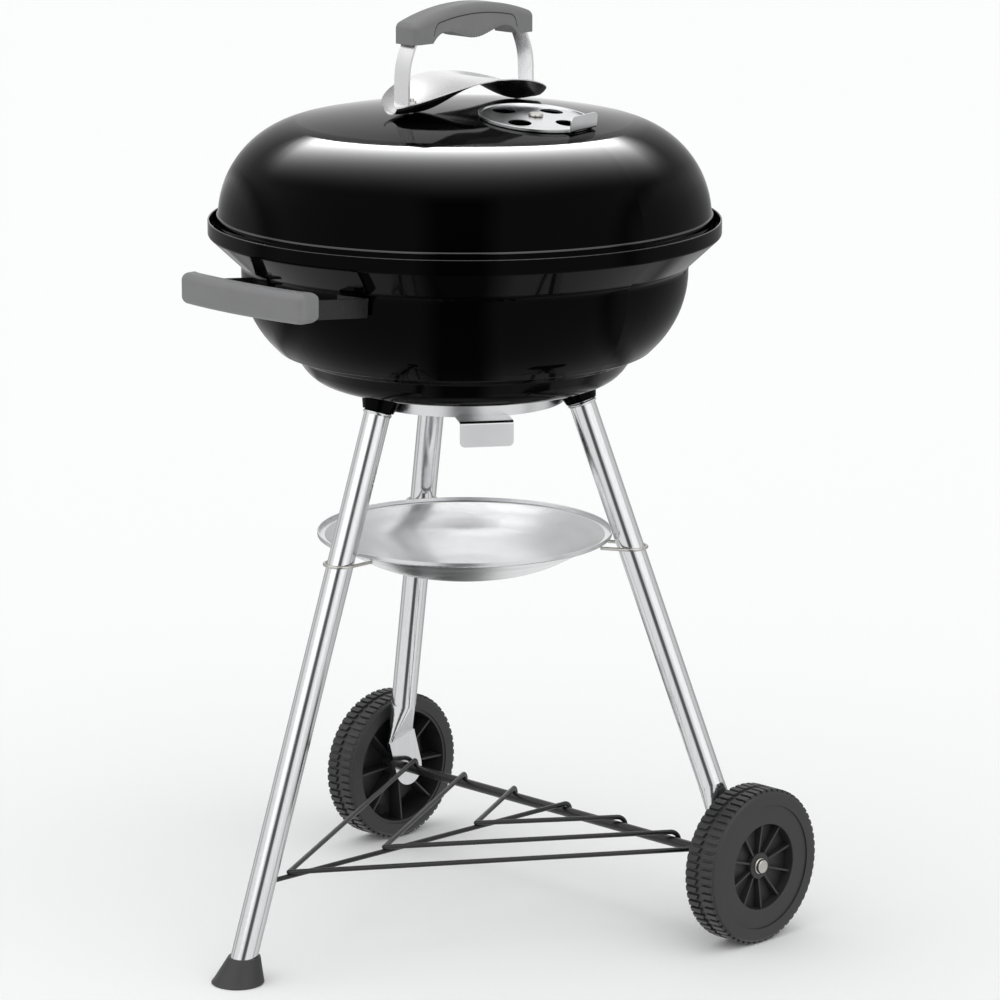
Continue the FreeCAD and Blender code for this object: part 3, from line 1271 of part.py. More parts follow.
def grate_shape(ring_r, ring_z, pitch):
    """A round wire grate: a ring, two crossing wires under the bars, and parallel bars welded on top."""
    hoop = Part.makeTorus(ring_r, mm.grate_ring_r, Vector(0, 0, ring_z))
    lift = mm.grate_ring_r + mm.grate_bar_r - mm.grate_weld
    pieces = []
    count = int((ring_r - mm.grate_bar_r) // pitch)
    for number in range(-count, count + 1):
        across = number * pitch
        reach = math.sqrt(ring_r ** 2 - across ** 2)
        if reach > pitch:
            ends = Vector(reach + 1, across, ring_z + lift), Vector(-reach - 1, across, ring_z + lift)
            pieces.append(rod(ends[0], ends[1], mm.grate_bar_r))
    for across in (-ring_r / 2, ring_r / 2):
        reach = math.sqrt(ring_r ** 2 - across ** 2)
        ends = Vector(across, -reach, ring_z), Vector(across, reach, ring_z)
        pieces.append(rod(ends[0], ends[1], mm.grate_ring_r * 0.9))
    return hoop.fuse(pieces)


def make_grates():
    rise = (mm.rim_z - mm.rim_band - mm.neck_z) / (mm.rim_r - mm.neck_r)
    off = (mm.grate_ring_r + mm.grate_gap) * math.sqrt(1 + rise ** 2)
    cook_z = flare_height(mm.cooking_grate_r) + off
    shaped("cooking_grate", grate_shape(mm.cooking_grate_r, cook_z, mm.cooking_bar_pitch))
    slope = (mm.ledge_z - mm.step_z) / (mm.ledge_r - mm.step_r)
    ledge = mm.step_z + mm.bowl_wall + (mm.charcoal_grate_r - mm.step_r + mm.bowl_wall) * slope
    off = (mm.grate_ring_r + mm.grate_gap) * math.sqrt(1 + slope ** 2) + mm.edge_round / 2
    shaped("charcoal_grate", grate_shape(mm.charcoal_grate_r, ledge + off, mm.charcoal_bar_pitch))


# ---- build, check and write ----

bowl_shell = make_bowl()
make_lid()
make_lid_damper()
make_lid_damper_rivet()
make_bowl_damper()
make_bowl_damper_rivet()
make_axle()
make_wheel("right", 1)
make_wheel("left", -1)
make_foot_leg()
make_ash_pan()
doc.recompute()
make_sockets(bowl_shell)
make_wheel_legs()
make_foot()
make_lid_handle()
make_heat_shield()
make_side_handle()
make_rack()
make_clips()
make_grates()
doc.recompute()

failed = [thing.Name for thing in doc.Objects if {"Invalid", "Error"} & set(thing.State)]
if failed:
    raise ValueError(f"these objects failed: {failed}")
for part in nodes:
    if part.Shape.isNull() or not part.Shape.isValid() or part.Shape.Volume <= 0:
        raise ValueError(f"{part.Label} has no valid shape")
os.makedirs("parts", exist_ok=True)
for part in nodes:
    part.Shape.exportStep(f"parts/{part.Label}.step")
print(f"wrote {len(nodes)} parts")
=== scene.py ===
# %% [markdown]
# # A kettle charcoal grill
# The imported model is the fixed frame of this scene. It already has every sheet-metal shell, tube, wire and
# bolt where it belongs. What is left for Blender is the look: the finish of each metal and plastic, and the
# pieces whose moulded detail is too fine for the solid model, which are the tyres' tread and the lid grip's
# ribs and seams.

import math

import bpy
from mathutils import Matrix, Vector


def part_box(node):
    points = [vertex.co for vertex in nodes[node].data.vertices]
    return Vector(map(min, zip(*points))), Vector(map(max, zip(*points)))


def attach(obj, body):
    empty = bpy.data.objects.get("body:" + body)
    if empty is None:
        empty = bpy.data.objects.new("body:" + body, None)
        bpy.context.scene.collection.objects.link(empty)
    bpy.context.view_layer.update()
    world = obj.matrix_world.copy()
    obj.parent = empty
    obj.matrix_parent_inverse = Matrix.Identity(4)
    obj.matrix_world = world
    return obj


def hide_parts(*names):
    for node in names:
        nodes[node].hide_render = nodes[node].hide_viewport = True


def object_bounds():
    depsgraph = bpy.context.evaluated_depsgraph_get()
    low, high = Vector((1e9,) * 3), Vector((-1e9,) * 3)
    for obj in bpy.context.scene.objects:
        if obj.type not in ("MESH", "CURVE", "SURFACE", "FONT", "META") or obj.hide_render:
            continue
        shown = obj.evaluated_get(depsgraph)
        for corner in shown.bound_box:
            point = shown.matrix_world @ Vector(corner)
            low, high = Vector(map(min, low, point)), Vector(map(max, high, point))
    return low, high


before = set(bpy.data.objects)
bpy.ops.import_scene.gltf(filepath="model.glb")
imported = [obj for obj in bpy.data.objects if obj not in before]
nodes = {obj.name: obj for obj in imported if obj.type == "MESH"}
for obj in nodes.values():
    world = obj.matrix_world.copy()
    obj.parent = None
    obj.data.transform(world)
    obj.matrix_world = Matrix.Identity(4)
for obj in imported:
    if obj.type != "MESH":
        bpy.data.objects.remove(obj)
cad_low, cad_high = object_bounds()
print(f"{len(nodes)} nodes, {cad_high - cad_low} m overall")

# %% [markdown]
# Everything below is measured from the model's own boxes. The kettle's upright axis is the middle of the
# bowl, and most finishes of turned and spun parts are centred on it.

# %% Where the kettle's axis and the wheels are
MM = 0.001
bowl_low, bowl_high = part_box("bowl_shell")
KETTLE = (bowl_low + bowl_high) / 2
WHEELS = {side: sum(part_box(f"wheel_tyre_{side}"), Vector()) / 2 for side in ("right", "left")}
tyre_low, tyre_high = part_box("wheel_tyre_right")
WHEEL_R = (tyre_high.z - tyre_low.z) / 2
WHEEL_WIDTH = tyre_high.x - tyre_low.x
print(f"kettle axis at y {KETTLE.y:.4f}")
print(f"wheels {2 * WHEEL_R / MM:.1f} mm across and {WHEEL_WIDTH / MM:.1f} mm wide")

# %% [markdown]
# ## Finishes
# Colours are written as they look on a screen, in hex, and Blender mixes light in linear values, so one
# function turns one into the other. A second small function adds a shader node, sets it and links it: every
# finish is built from that alone.

# %% Helpers for finishes
def colour(code):
    """A screen colour such as "#1a1a1a" as the linear RGBA that shaders use."""
    values = [int(code[i:i + 2], 16) / 255 for i in (1, 3, 5)]
    return [v / 12.92 if v <= 0.04045 else ((v + 0.055) / 1.055) ** 2.4 for v in values] + [1.0]


def add(tree, kind, inputs=(), **settings):
    """Add one node: settings are its properties, inputs pairs a socket with a value or another output."""
    node = tree.nodes.new(kind)
    for name, value in settings.items():
        setattr(node, name, value)
    for socket, value in dict(inputs).items():
        if isinstance(value, bpy.types.NodeSocket):
            tree.links.new(value, node.inputs[socket])
        else:
            node.inputs[socket].default_value = value
    return node


def new_finish(name):
    """An empty material, its node tree, and the position, in metres, that patterns are drawn in."""
    finish = bpy.data.materials.new(name)
    finish.use_nodes = True
    tree = finish.node_tree
    tree.nodes.clear()
    position = add(tree, "ShaderNodeTexCoord").outputs["Object"]
    return finish, tree, position


def wear(finish, *names):
    """Give nodes of the frame, or new pieces, this finish in all their material slots."""
    for name in names:
        piece = bpy.data.objects[name]
        if not piece.material_slots:
            piece.data.materials.append(finish)
        for slot in piece.material_slots:
            slot.material = finish
    print(f"{finish.name}: {', '.join(names)}")


# %% [markdown]
# ### Vitreous enamel
# The bowl and the lid are pressed steel, sprayed with powdered glass and fired. The melt leaves a deep
# black, very glossy glass skin. It isn't quite flat: it has a soft orange peel a few millimetres across,
# which makes the edges of reflections swim a little, and here and there a speck where a bubble burst.

# %% Black vitreous enamel
def make_enamel(name, sheen_level):
    """Black enamel. Real glass has a sheen level of 0.5: the big shells have far less, to stay deep black."""
    finish, tree, position = new_finish(name)
    peel = add(tree, "ShaderNodeTexNoise", {"Vector": position, "Scale": 1 / (7 * MM), "Detail": 2.0})
    speck = add(tree, "ShaderNodeTexNoise", {"Vector": position, "Scale": 1 / (1.2 * MM), "Detail": 1.0})
    pits = add(tree, "ShaderNodeValToRGB", {"Fac": speck.outputs["Fac"]})
    pits.color_ramp.elements[0].position = 0.74
    pits.color_ramp.elements[1].position = 0.80
    haze = add(tree, "ShaderNodeTexNoise", {"Vector": position, "Scale": 1 / (60 * MM), "Detail": 3.0})
    rough = add(tree, "ShaderNodeMapRange", {
        "Value": haze.outputs["Fac"], "From Min": 0.3, "From Max": 0.7, "To Min": 0.045, "To Max": 0.085})
    dusty = add(tree, "ShaderNodeMath", {0: pits.outputs["Color"], 1: 0.10}, operation="MULTIPLY")
    rough = add(tree, "ShaderNodeMath", {0: rough.outputs["Result"], 1: dusty.outputs[0]}, operation="ADD")
    tint = add(tree, "ShaderNodeMix", {
        "Factor": haze.outputs["Fac"], 6: colour("#010101"), 7: colour("#040404")}, data_type="RGBA")
    bump = add(tree, "ShaderNodeBump", {
        "Height": peel.outputs["Fac"], "Strength": 0.35, "Distance": 0.02 * MM})
    glass = add(tree, "ShaderNodeBsdfPrincipled", {
        "Base Color": tint.outputs[2], "Roughness": rough.outputs[0], "Normal": bump.outputs["Normal"],
        "IOR": 1.5, "Specular IOR Level": sheen_level})
    add(tree, "ShaderNodeOutputMaterial", {"Surface": glass.outputs["BSDF"]})
    return finish


SHELL_SHEEN, BEAD_SHEEN = 0.04, 1.0
enamel = make_enamel("black_vitreous_enamel", SHELL_SHEEN)
beaded_enamel = make_enamel("black_enamel_on_rolled_edge", BEAD_SHEEN)
wear(enamel, "bowl_shell", "lid_shell", "leg_socket_front", "leg_socket_right", "leg_socket_left")

# %% [markdown]
# ### Bright chromed tube
# The legs are drawn steel tube with a bright chromium plate. Drawing leaves very faint lines along the
# tube, which the plate nearly levels, so reflections are sharp across the tube and slightly streaked along
# it.

# %% Chromed steel tube
def make_chrome():
    """Sharp chrome plate with faint lines drawn along Z."""
    finish, tree, position = new_finish("bright_chrome_plate")
    along = add(tree, "ShaderNodeMapping", {"Vector": position, "Scale": (1, 1, 0.02)})
    drawn = add(tree, "ShaderNodeTexNoise", {
        "Vector": along.outputs["Vector"], "Scale": 1 / (1.5 * MM), "Detail": 3.0})
    cloud = add(tree, "ShaderNodeTexNoise", {"Vector": position, "Scale": 1 / (30 * MM), "Detail": 2.0})
    rough = add(tree, "ShaderNodeMapRange", {
        "Value": cloud.outputs["Fac"], "From Min": 0.3, "From Max": 0.7, "To Min": 0.10, "To Max": 0.17})
    tint = add(tree, "ShaderNodeMix", {
        "Factor": drawn.outputs["Fac"], 6: colour("#d4d5d7"), 7: colour("#e6e6e7")}, data_type="RGBA")
    bump = add(tree, "ShaderNodeBump", {
        "Height": drawn.outputs["Fac"], "Strength": 0.25, "Distance": 0.01 * MM})
    metal = add(tree, "ShaderNodeBsdfPrincipled", {
        "Base Color": tint.outputs[2], "Metallic": 1.0, "Roughness": rough.outputs["Result"],
        "Normal": bump.outputs["Normal"]})
    add(tree, "ShaderNodeOutputMaterial", {"Surface": metal.outputs["BSDF"]})
    return finish


chrome = make_chrome()
wear(chrome, "leg_front", "leg_right", "leg_left")

# %% [markdown]
# ### Spun aluminium
# The ash pan and the dampers are soft aluminium sheet, formed on a lathe over a block. The tool leaves
# rings about half a millimetre apart, which are drawn about twice as coarse here, because real ones would
# vanish in the picture. Light spreads across the rings into the fan-shaped glints of a saucepan's bottom.
# The shader is told the rings' direction, which is square to the line from the axis.

# %% Spun aluminium
def make_spun(name, centre, light, dark, ring_mm):
    """Aluminium with rings round an upright axis through centre."""
    finish, tree, position = new_finish(name)
    out = add(tree, "ShaderNodeVectorMath", {0: position, 1: tuple(centre)}, operation="SUBTRACT")
    flat = add(tree, "ShaderNodeVectorMath", {0: out.outputs[0], 1: (1, 1, 0)}, operation="MULTIPLY")
    radius = add(tree, "ShaderNodeVectorMath", {0: flat.outputs[0]}, operation="LENGTH")
    tangent = add(tree, "ShaderNodeVectorMath", {0: (0, 0, 1), 1: flat.outputs[0]}, operation="CROSS_PRODUCT")
    rings = add(tree, "ShaderNodeTexNoise", {
        "W": radius.outputs["Value"], "Scale": 1 / (ring_mm * MM), "Detail": 3.0}, noise_dimensions="1D")
    bands = add(tree, "ShaderNodeTexNoise", {
        "W": radius.outputs["Value"], "Scale": 1 / (9 * MM), "Detail": 2.0}, noise_dimensions="1D")
    cloud = add(tree, "ShaderNodeTexNoise", {"Vector": position, "Scale": 1 / (25 * MM), "Detail": 4.0})
    rough = add(tree, "ShaderNodeMapRange", {
        "Value": bands.outputs[0], "From Min": 0.3, "From Max": 0.7, "To Min": 0.22, "To Max": 0.27})
    tint = add(tree, "ShaderNodeMix", {
        "Factor": cloud.outputs["Fac"], 6: colour(dark), 7: colour(light)}, data_type="RGBA")
    bump = add(tree, "ShaderNodeBump", {
        "Height": rings.outputs[0], "Strength": 0.12, "Distance": 0.02 * MM})
    metal = add(tree, "ShaderNodeBsdfPrincipled", {
        "Base Color": tint.outputs[2], "Metallic": 1.0, "Roughness": rough.outputs["Result"],
        "Anisotropic": 0.5, "Tangent": tangent.outputs[0], "Normal": bump.outputs["Normal"]})
    add(tree, "ShaderNodeOutputMaterial", {"Surface": metal.outputs["BSDF"]})
    return finish


vent_middle = sum(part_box("lid_damper_rivet"), Vector()) / 2
spun = make_spun("spun_aluminium", KETTLE, "#e4e5e6", "#dadbdc", 1.2)
spun_disc = make_spun("spun_aluminium_disc", vent_middle, "#dfe0e1", "#d2d3d4", 0.9)
wear(spun, "ash_pan", "bowl_damper")
wear(spun_disc, "lid_damper")

# %% [markdown]
# ### Brushed stainless steel
# The lid handle's straps and the heat shield are stainless strip, ground with a belt. The belt's scratches
# are a few hundredths of a millimetre wide and run along the strip; they are drawn about ten times coarser
# here, because real ones would vanish in the picture.

# %% Brushed stainless steel
def make_brushed():
    """Stainless strip with fine scratches, drawn out along Y and Z."""
    finish, tree, position = new_finish("brushed_stainless_steel")
    along = add(tree, "ShaderNodeMapping", {"Vector": position, "Scale": (1, 0.03, 0.03)})
    grain = add(tree, "ShaderNodeTexNoise", {
        "Vector": along.outputs["Vector"], "Scale": 1 / (0.5 * MM), "Detail": 5.0, "Roughness": 0.6})
    cloud = add(tree, "ShaderNodeTexNoise", {"Vector": position, "Scale": 1 / (40 * MM), "Detail": 2.0})
    rough = add(tree, "ShaderNodeMapRange", {
        "Value": grain.outputs["Fac"], "From Min": 0.3, "From Max": 0.7, "To Min": 0.22, "To Max": 0.34})
    tint = add(tree, "ShaderNodeMix", {
        "Factor": cloud.outputs["Fac"], 6: colour("#dededf"), 7: colour("#ededee")}, data_type="RGBA")
    bump = add(tree, "ShaderNodeBump", {
        "Height": grain.outputs["Fac"], "Strength": 0.3, "Distance": 0.015 * MM})
    metal = add(tree, "ShaderNodeBsdfPrincipled", {
        "Base Color": tint.outputs[2], "Metallic": 1.0, "Roughness": rough.outputs["Result"],
        "Anisotropic": 0.4, "Normal": bump.outputs["Normal"]})
    add(tree, "ShaderNodeOutputMaterial", {"Surface": metal.outputs["BSDF"]})
    return finish


brushed = make_brushed()
wear(brushed, "lid_handle_strap_front", "lid_handle_strap_rear", "lid_heat_shield")

# %% [markdown]
# ### Nickel and zinc plate
# The grates, clips, caps, bolts and rivets are plain steel with a thin plate. It is duller and a shade
# warmer than chrome, with a fine crystal bloom.

# %% Plated steel
def make_plate():
    """Thin, slightly warm plate with a crystal bloom."""
    finish, tree, position = new_finish("nickel_plated_steel")
    bloom = add(tree, "ShaderNodeTexNoise", {"Vector": position, "Scale": 1 / (0.8 * MM), "Detail": 4.0})
    cloud = add(tree, "ShaderNodeTexNoise", {"Vector": position, "Scale": 1 / (18 * MM), "Detail": 2.0})
    rough = add(tree, "ShaderNodeMapRange", {
        "Value": bloom.outputs["Fac"], "From Min": 0.3, "From Max": 0.7, "To Min": 0.22, "To Max": 0.32})
    tint = add(tree, "ShaderNodeMix", {
        "Factor": cloud.outputs["Fac"], 6: colour("#b9b7b2"), 7: colour("#cdccc8")}, data_type="RGBA")
    bump = add(tree, "ShaderNodeBump", {
        "Height": bloom.outputs["Fac"], "Strength": 0.2, "Distance": 0.01 * MM})
    metal = add(tree, "ShaderNodeBsdfPrincipled", {
        "Base Color": tint.outputs[2], "Metallic": 1.0, "Roughness": rough.outputs["Result"],
        "Normal": bump.outputs["Normal"]})
    add(tree, "ShaderNodeOutputMaterial", {"Surface": metal.outputs["BSDF"]})
    return finish


plate = make_plate()
wear(plate, "cooking_grate", "charcoal_grate", "pan_clip_front", "pan_clip_right", "pan_clip_left",
     "axle_cap_right", "axle_cap_left", "lid_handle_bolts", "side_handle_bolts", "lid_damper_rivet",
     "bowl_damper_rivet")

# %% [markdown]
# ### Black coated steel
# The rack's wires, the axle and the side handle's strap are dipped in black lacquer, which is satin rather
# than glossy and pools a little unevenly.

# %% Black lacquered steel
def make_lacquer():
    """Satin black lacquer that pools a little."""
    finish, tree, position = new_finish("black_lacquered_steel")
    pool = add(tree, "ShaderNodeTexNoise", {"Vector": position, "Scale": 1 / (3 * MM), "Detail": 3.0})
    rough = add(tree, "ShaderNodeMapRange", {
        "Value": pool.outputs["Fac"], "From Min": 0.3, "From Max": 0.7, "To Min": 0.26, "To Max": 0.42})
    tint = add(tree, "ShaderNodeMix", {
        "Factor": pool.outputs["Fac"], 6: colour("#0c0c0c"), 7: colour("#161616")}, data_type="RGBA")
    bump = add(tree, "ShaderNodeBump", {
        "Height": pool.outputs["Fac"], "Strength": 0.3, "Distance": 0.05 * MM})
    coat = add(tree, "ShaderNodeBsdfPrincipled", {
        "Base Color": tint.outputs[2], "Roughness": rough.outputs["Result"], "Normal": bump.outputs["Normal"],
        "IOR": 1.5})
    add(tree, "ShaderNodeOutputMaterial", {"Surface": coat.outputs["BSDF"]})
    return finish


lacquer = make_lacquer()
wear(lacquer, "axle", "rack_wire_spine", "rack_wire_outer", "rack_wire_middle", "rack_wire_inner",
     "side_handle_strap")

# %% [markdown]
# ### Moulded plastics
# The wheels and the foot are blown and moulded black polyethylene, slightly waxy, with the fine grain of a
# sandblasted mould. The grips are glass-filled nylon in dark grey: the glass shows as a faint pale fleck
# and gives a drier surface.

# %% Moulded plastics
def make_moulded(name, light, dark, low_rough, high_rough, grain_mm, fleck):
    """Moulded plastic with a fine mould grain. fleck is how strongly glass fibres show, from 0 to 1."""
    finish, tree, position = new_finish(name)
    grain = add(tree, "ShaderNodeTexNoise", {"Vector": position, "Scale": 1 / (grain_mm * MM), "Detail": 3.0})
    cloud = add(tree, "ShaderNodeTexNoise", {"Vector": position, "Scale": 1 / (22 * MM), "Detail": 3.0})
    spot = add(tree, "ShaderNodeTexVoronoi", {"Vector": position, "Scale": 1 / (1.6 * MM)})
    glint = add(tree, "ShaderNodeMapRange", {
        "Value": spot.outputs["Distance"], "From Min": 0.05, "From Max": 0.16,
        "To Min": fleck, "To Max": 0.0})
    rough = add(tree, "ShaderNodeMapRange", {
        "Value": cloud.outputs["Fac"], "From Min": 0.3, "From Max": 0.7,
        "To Min": low_rough, "To Max": high_rough})
    tint = add(tree, "ShaderNodeMix", {
        "Factor": cloud.outputs["Fac"], 6: colour(dark), 7: colour(light)}, data_type="RGBA")
    flecked = add(tree, "ShaderNodeMix", {
        "Factor": glint.outputs["Result"], 6: tint.outputs[2], 7: colour("#9a9a9a")}, data_type="RGBA")
    bump = add(tree, "ShaderNodeBump", {
        "Height": grain.outputs["Fac"], "Strength": 0.35, "Distance": 0.05 * MM})
    resin = add(tree, "ShaderNodeBsdfPrincipled", {
        "Base Color": flecked.outputs[2], "Roughness": rough.outputs["Result"],
        "Normal": bump.outputs["Normal"], "IOR": 1.52})
    add(tree, "ShaderNodeOutputMaterial", {"Surface": resin.outputs["BSDF"]})
    return finish


polythene = make_moulded("moulded_black_polythene", "#2e2e2e", "#252525", 0.42, 0.56, 0.5, 0.0)
nylon = make_moulded("glass_filled_grey_nylon", "#7c7c7d", "#707071", 0.44, 0.56, 0.6, 0.10)
wear(polythene, "foot_cap", "wheel_hub_right", "wheel_hub_left", "wheel_tyre_right", "wheel_tyre_left")
wear(nylon, "lid_handle_grip", "side_handle_grip")

# %% [markdown]
# ## The tyres
# A wheel's tyre is blown in one piece of black polyethylene. Its tread is two rows of short ridges with a
# zig-zag groove between them. A ring turned from one section carries the tread, and one low ridge is
# modelled and copied round the ring, because that gives every ridge the same crisp edges for few
# faces.

# %% Helpers for modelling
SHARP = math.radians(35)


def start_fresh():
    """Leave edit mode and select nothing, so that the next operator touches only its own piece."""
    if bpy.context.object and bpy.context.object.mode != "OBJECT":
        bpy.ops.object.mode_set(mode="OBJECT")
    bpy.ops.object.select_all(action="DESELECT")


def pick(piece, chosen):
    """In edit mode, select the vertices for which chosen(position) is true."""
    bpy.ops.object.mode_set(mode="OBJECT")
    for edge in piece.data.edges:
        edge.select = False
    for face in piece.data.polygons:
        face.select = False
    for vertex in piece.data.vertices:
        vertex.select = bool(chosen(vertex.co))
    bpy.ops.object.mode_set(mode="EDIT")


def finish_bevel(piece, width, segments):
    """A small bevel on the piece's sharp edges, applied."""
    rounding = piece.modifiers.new("rounding", "BEVEL")
    rounding.width = width
    rounding.segments = segments
    rounding.limit_method = "ANGLE"
    rounding.angle_limit = SHARP
    bpy.context.view_layer.objects.active = piece
    bpy.ops.object.modifier_apply(modifier=rounding.name)


def settle(piece, name):
    """Name a piece and put its place into its mesh, as the frame's own nodes have it."""
    bpy.ops.object.select_all(action="DESELECT")
    piece.select_set(True)
    bpy.context.view_layer.objects.active = piece
    bpy.ops.object.transform_apply(location=True, rotation=True, scale=True)
    bpy.ops.object.shade_smooth_by_angle(angle=SHARP)
    piece.name = name
    piece.data.name = name
    return piece


# %% [markdown]
# The ring's section is drawn in a plane through the axle, its corners are rounded, and it is spun a full
# turn. The ring stops at the bottom of the grooves, and the ridges stand on it.

# %% The tyre's ring
TYRE_DEPTH = 15.3 * MM
TREAD_DEPTH = 2.4 * MM
SHOULDER_ROUND = 3.2 * MM
RING_STEPS = 180
RIDGES = 60


def make_ring(side):
    """The tyre's body, turned about the axle."""
    middle = WHEELS[side]
    start_fresh()
    low, high = WHEEL_R - TYRE_DEPTH, WHEEL_R - TREAD_DEPTH
    bpy.ops.mesh.primitive_plane_add(size=1, location=(0, 0, 0), rotation=(math.pi / 2, 0, 0))
    ring = bpy.context.object
    ring.scale = (WHEEL_WIDTH, high - low, 1)
    bpy.ops.object.transform_apply(location=True, rotation=True, scale=True)
    bpy.ops.object.mode_set(mode="EDIT")
    bpy.ops.mesh.select_all(action="SELECT")
    bpy.ops.transform.translate(value=(0, 0, (low + high) / 2))
    pick(ring, lambda co: co.z > (low + high) / 2)
    bpy.ops.mesh.bevel(offset=SHOULDER_ROUND, segments=4, affect="VERTICES")
    bpy.ops.mesh.select_all(action="SELECT")
    bpy.ops.mesh.spin(steps=RING_STEPS, angle=2 * math.pi, center=(0, 0, 0), axis=(1, 0, 0))
    bpy.ops.mesh.select_all(action="SELECT")
    bpy.ops.mesh.remove_doubles(threshold=0.02 * MM)
    bpy.ops.mesh.normals_make_consistent(inside=False)
    bpy.ops.object.mode_set(mode="OBJECT")
    ring.location = middle
    return settle(ring, f"tyre_{side}")


rings = {side: make_ring(side) for side in ("right", "left")}
print(f"tyre ring: {len(rings['right'].data.polygons)} faces, {RIDGES} ridges in each row")

# %% [markdown]
# One ridge runs from beside the middle groove out over the shoulder. Its inner end is cut at a slant, which
# is what makes the groove zig-zag, and its outer end falls away with the shoulder.

# %% One ridge of the tread, copied round
HALF_GROOVE, EDGE_MARGIN = 1.6 * MM, 0.3 * MM
RIDGE_SHARE = 0.66
RIDGE_ROOT, RIDGE_BELOW = 1.6 * MM, 0.05 * MM
SLANT, SHOULDER_IN, SHOULDER_DROP = 2.2 * MM, 2.6 * MM, 3.6 * MM
RIDGE_BEVEL = 0.45 * MM


def make_ridge(row):
    """A ridge at the top of a tyre, with its outer end towards row 1 (+X) or -1 (-X)."""
    start_fresh()
    pitch = 2 * math.pi * WHEEL_R / RIDGES
    inner, outer = HALF_GROOVE, WHEEL_WIDTH / 2 - EDGE_MARGIN
    middle = (outer + inner) / 2
    tall = TREAD_DEPTH + RIDGE_ROOT
    bpy.ops.mesh.primitive_cube_add(size=1, location=(0, 0, 0))
    ridge = bpy.context.object
    ridge.scale = (outer - inner, RIDGE_SHARE * pitch, tall)
    bpy.ops.object.transform_apply(location=True, rotation=True, scale=True)
    bpy.ops.object.mode_set(mode="EDIT")
    bpy.ops.mesh.select_all(action="SELECT")
    bpy.ops.transform.translate(value=(middle, 0, WHEEL_R - tall / 2 - RIDGE_BELOW))
    pick(ridge, lambda co: co.x < middle and co.y > 0)
    bpy.ops.transform.translate(value=(SLANT, 0, 0))
    pick(ridge, lambda co: co.x > middle and co.z > WHEEL_R - TREAD_DEPTH)
    bpy.ops.transform.translate(value=(-SHOULDER_IN, 0, 0))
    pick(ridge, lambda co: co.x > middle and co.z < WHEEL_R - TREAD_DEPTH)
    bpy.ops.transform.translate(value=(0, 0, -SHOULDER_DROP))
    bpy.ops.object.mode_set(mode="OBJECT")
    finish_bevel(ridge, RIDGE_BEVEL, 1)
    if row < 0:
        bpy.ops.object.mode_set(mode="EDIT")
        bpy.ops.mesh.select_all(action="SELECT")
        bpy.ops.transform.rotate(value=math.pi, orient_axis="Z", center_override=(0, 0, 0))
        bpy.ops.object.mode_set(mode="OBJECT")
    return ridge


def make_tread(side):
    """Both rows of ridges, joined to the tyre's ring."""
    middle = WHEELS[side]
    start_fresh()
    copies = []
    for row, offset in ((1, 0.0), (-1, 0.5)):
        ridge = make_ridge(row)
        for step in range(RIDGES):
            copy = ridge.copy()
            copy.data = ridge.data.copy()
            bpy.context.scene.collection.objects.link(copy)
            copy.rotation_euler = (2 * math.pi * (step + offset) / RIDGES, 0, 0)
            copy.location = middle
            copies.append(copy)
        bpy.data.objects.remove(ridge)
    bpy.ops.object.select_all(action="DESELECT")
    for copy in copies:
        copy.select_set(True)
    rings[side].select_set(True)
    bpy.context.view_layer.objects.active = rings[side]
    bpy.ops.object.join()
    tyre = settle(rings[side], f"tyre_{side}")
    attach(tyre, f"wheel_{side}")
    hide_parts(f"wheel_tyre_{side}")
    return tyre


tyres = {side: make_tread(side) for side in ("right", "left")}
wear(polythene, "tyre_right", "tyre_left")
print(f"tyre: {len(tyres['right'].data.polygons)} faces")

# %% [markdown]
# ## The rolled edges
# The lid's foot and the bowl's rim are curled over before they are enamelled. The glass gathers on the curl
# as a thin round bead, which catches a bright line all the way round. Each bead is a small circle spun
# about the kettle's axis.

# %% Beads of enamel on the lid's foot and the bowl's rim
RIM_R = (bowl_high.x - bowl_low.x) / 2
RIM_BEAD, FOOT_BEAD = 0.8 * MM, 1.5 * MM
RIM_ROUND, FOOT_RISE = 0.7 * MM, 4.5 * MM
CLEAR_OF_STRAP = math.radians(10)


def top_of(node, radius, bearing):
    """Height of a node's upper side at a radius from the kettle's axis, found by looking down on it."""
    across = Vector((math.cos(bearing), math.sin(bearing), 0)) * radius
    start = Vector((KETTLE.x, KETTLE.y, cad_high.z + 0.1)) + across
    hit, place, _, _ = bpy.data.objects[node].ray_cast(start, Vector((0, 0, -1)))
    return place.z if hit else None


def wall_at(node, height):
    """Radius of a node's outer wall at a height, found by looking in from the side."""
    start = Vector((KETTLE.x + 2 * RIM_R, KETTLE.y, height))
    hit, place, _, _ = bpy.data.objects[node].ray_cast(start, Vector((-1, 0, 0)))
    return (place - Vector((KETTLE.x, KETTLE.y, height))).length if hit else None


def make_bead(name, radius, height, thickness, body):
    """A thin round bead about the kettle's axis, riding on a body."""
    start_fresh()
    bpy.ops.mesh.primitive_circle_add(
        vertices=10, radius=thickness, fill_type="NOTHING",
        location=(radius, 0, height), rotation=(math.pi / 2, 0, 0))
    bead = bpy.context.object
    bpy.ops.object.transform_apply(location=True, rotation=True, scale=True)
    bpy.ops.object.mode_set(mode="EDIT")
    bpy.ops.mesh.select_all(action="SELECT")
    bpy.ops.mesh.spin(steps=240, angle=2 * math.pi, center=(0, 0, 0), axis=(0, 0, 1))
    bpy.ops.mesh.select_all(action="SELECT")
    bpy.ops.mesh.remove_doubles(threshold=0.01 * MM)
    bpy.ops.mesh.normals_make_consistent(inside=False)
    bpy.ops.object.mode_set(mode="OBJECT")
    bead.location = (KETTLE.x, KETTLE.y, 0)
    settle(bead, name)
    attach(bead, body)
    return bead


rim_top = top_of("bowl_shell", RIM_R - RIM_ROUND, CLEAR_OF_STRAP)
foot_height = rim_top + FOOT_RISE

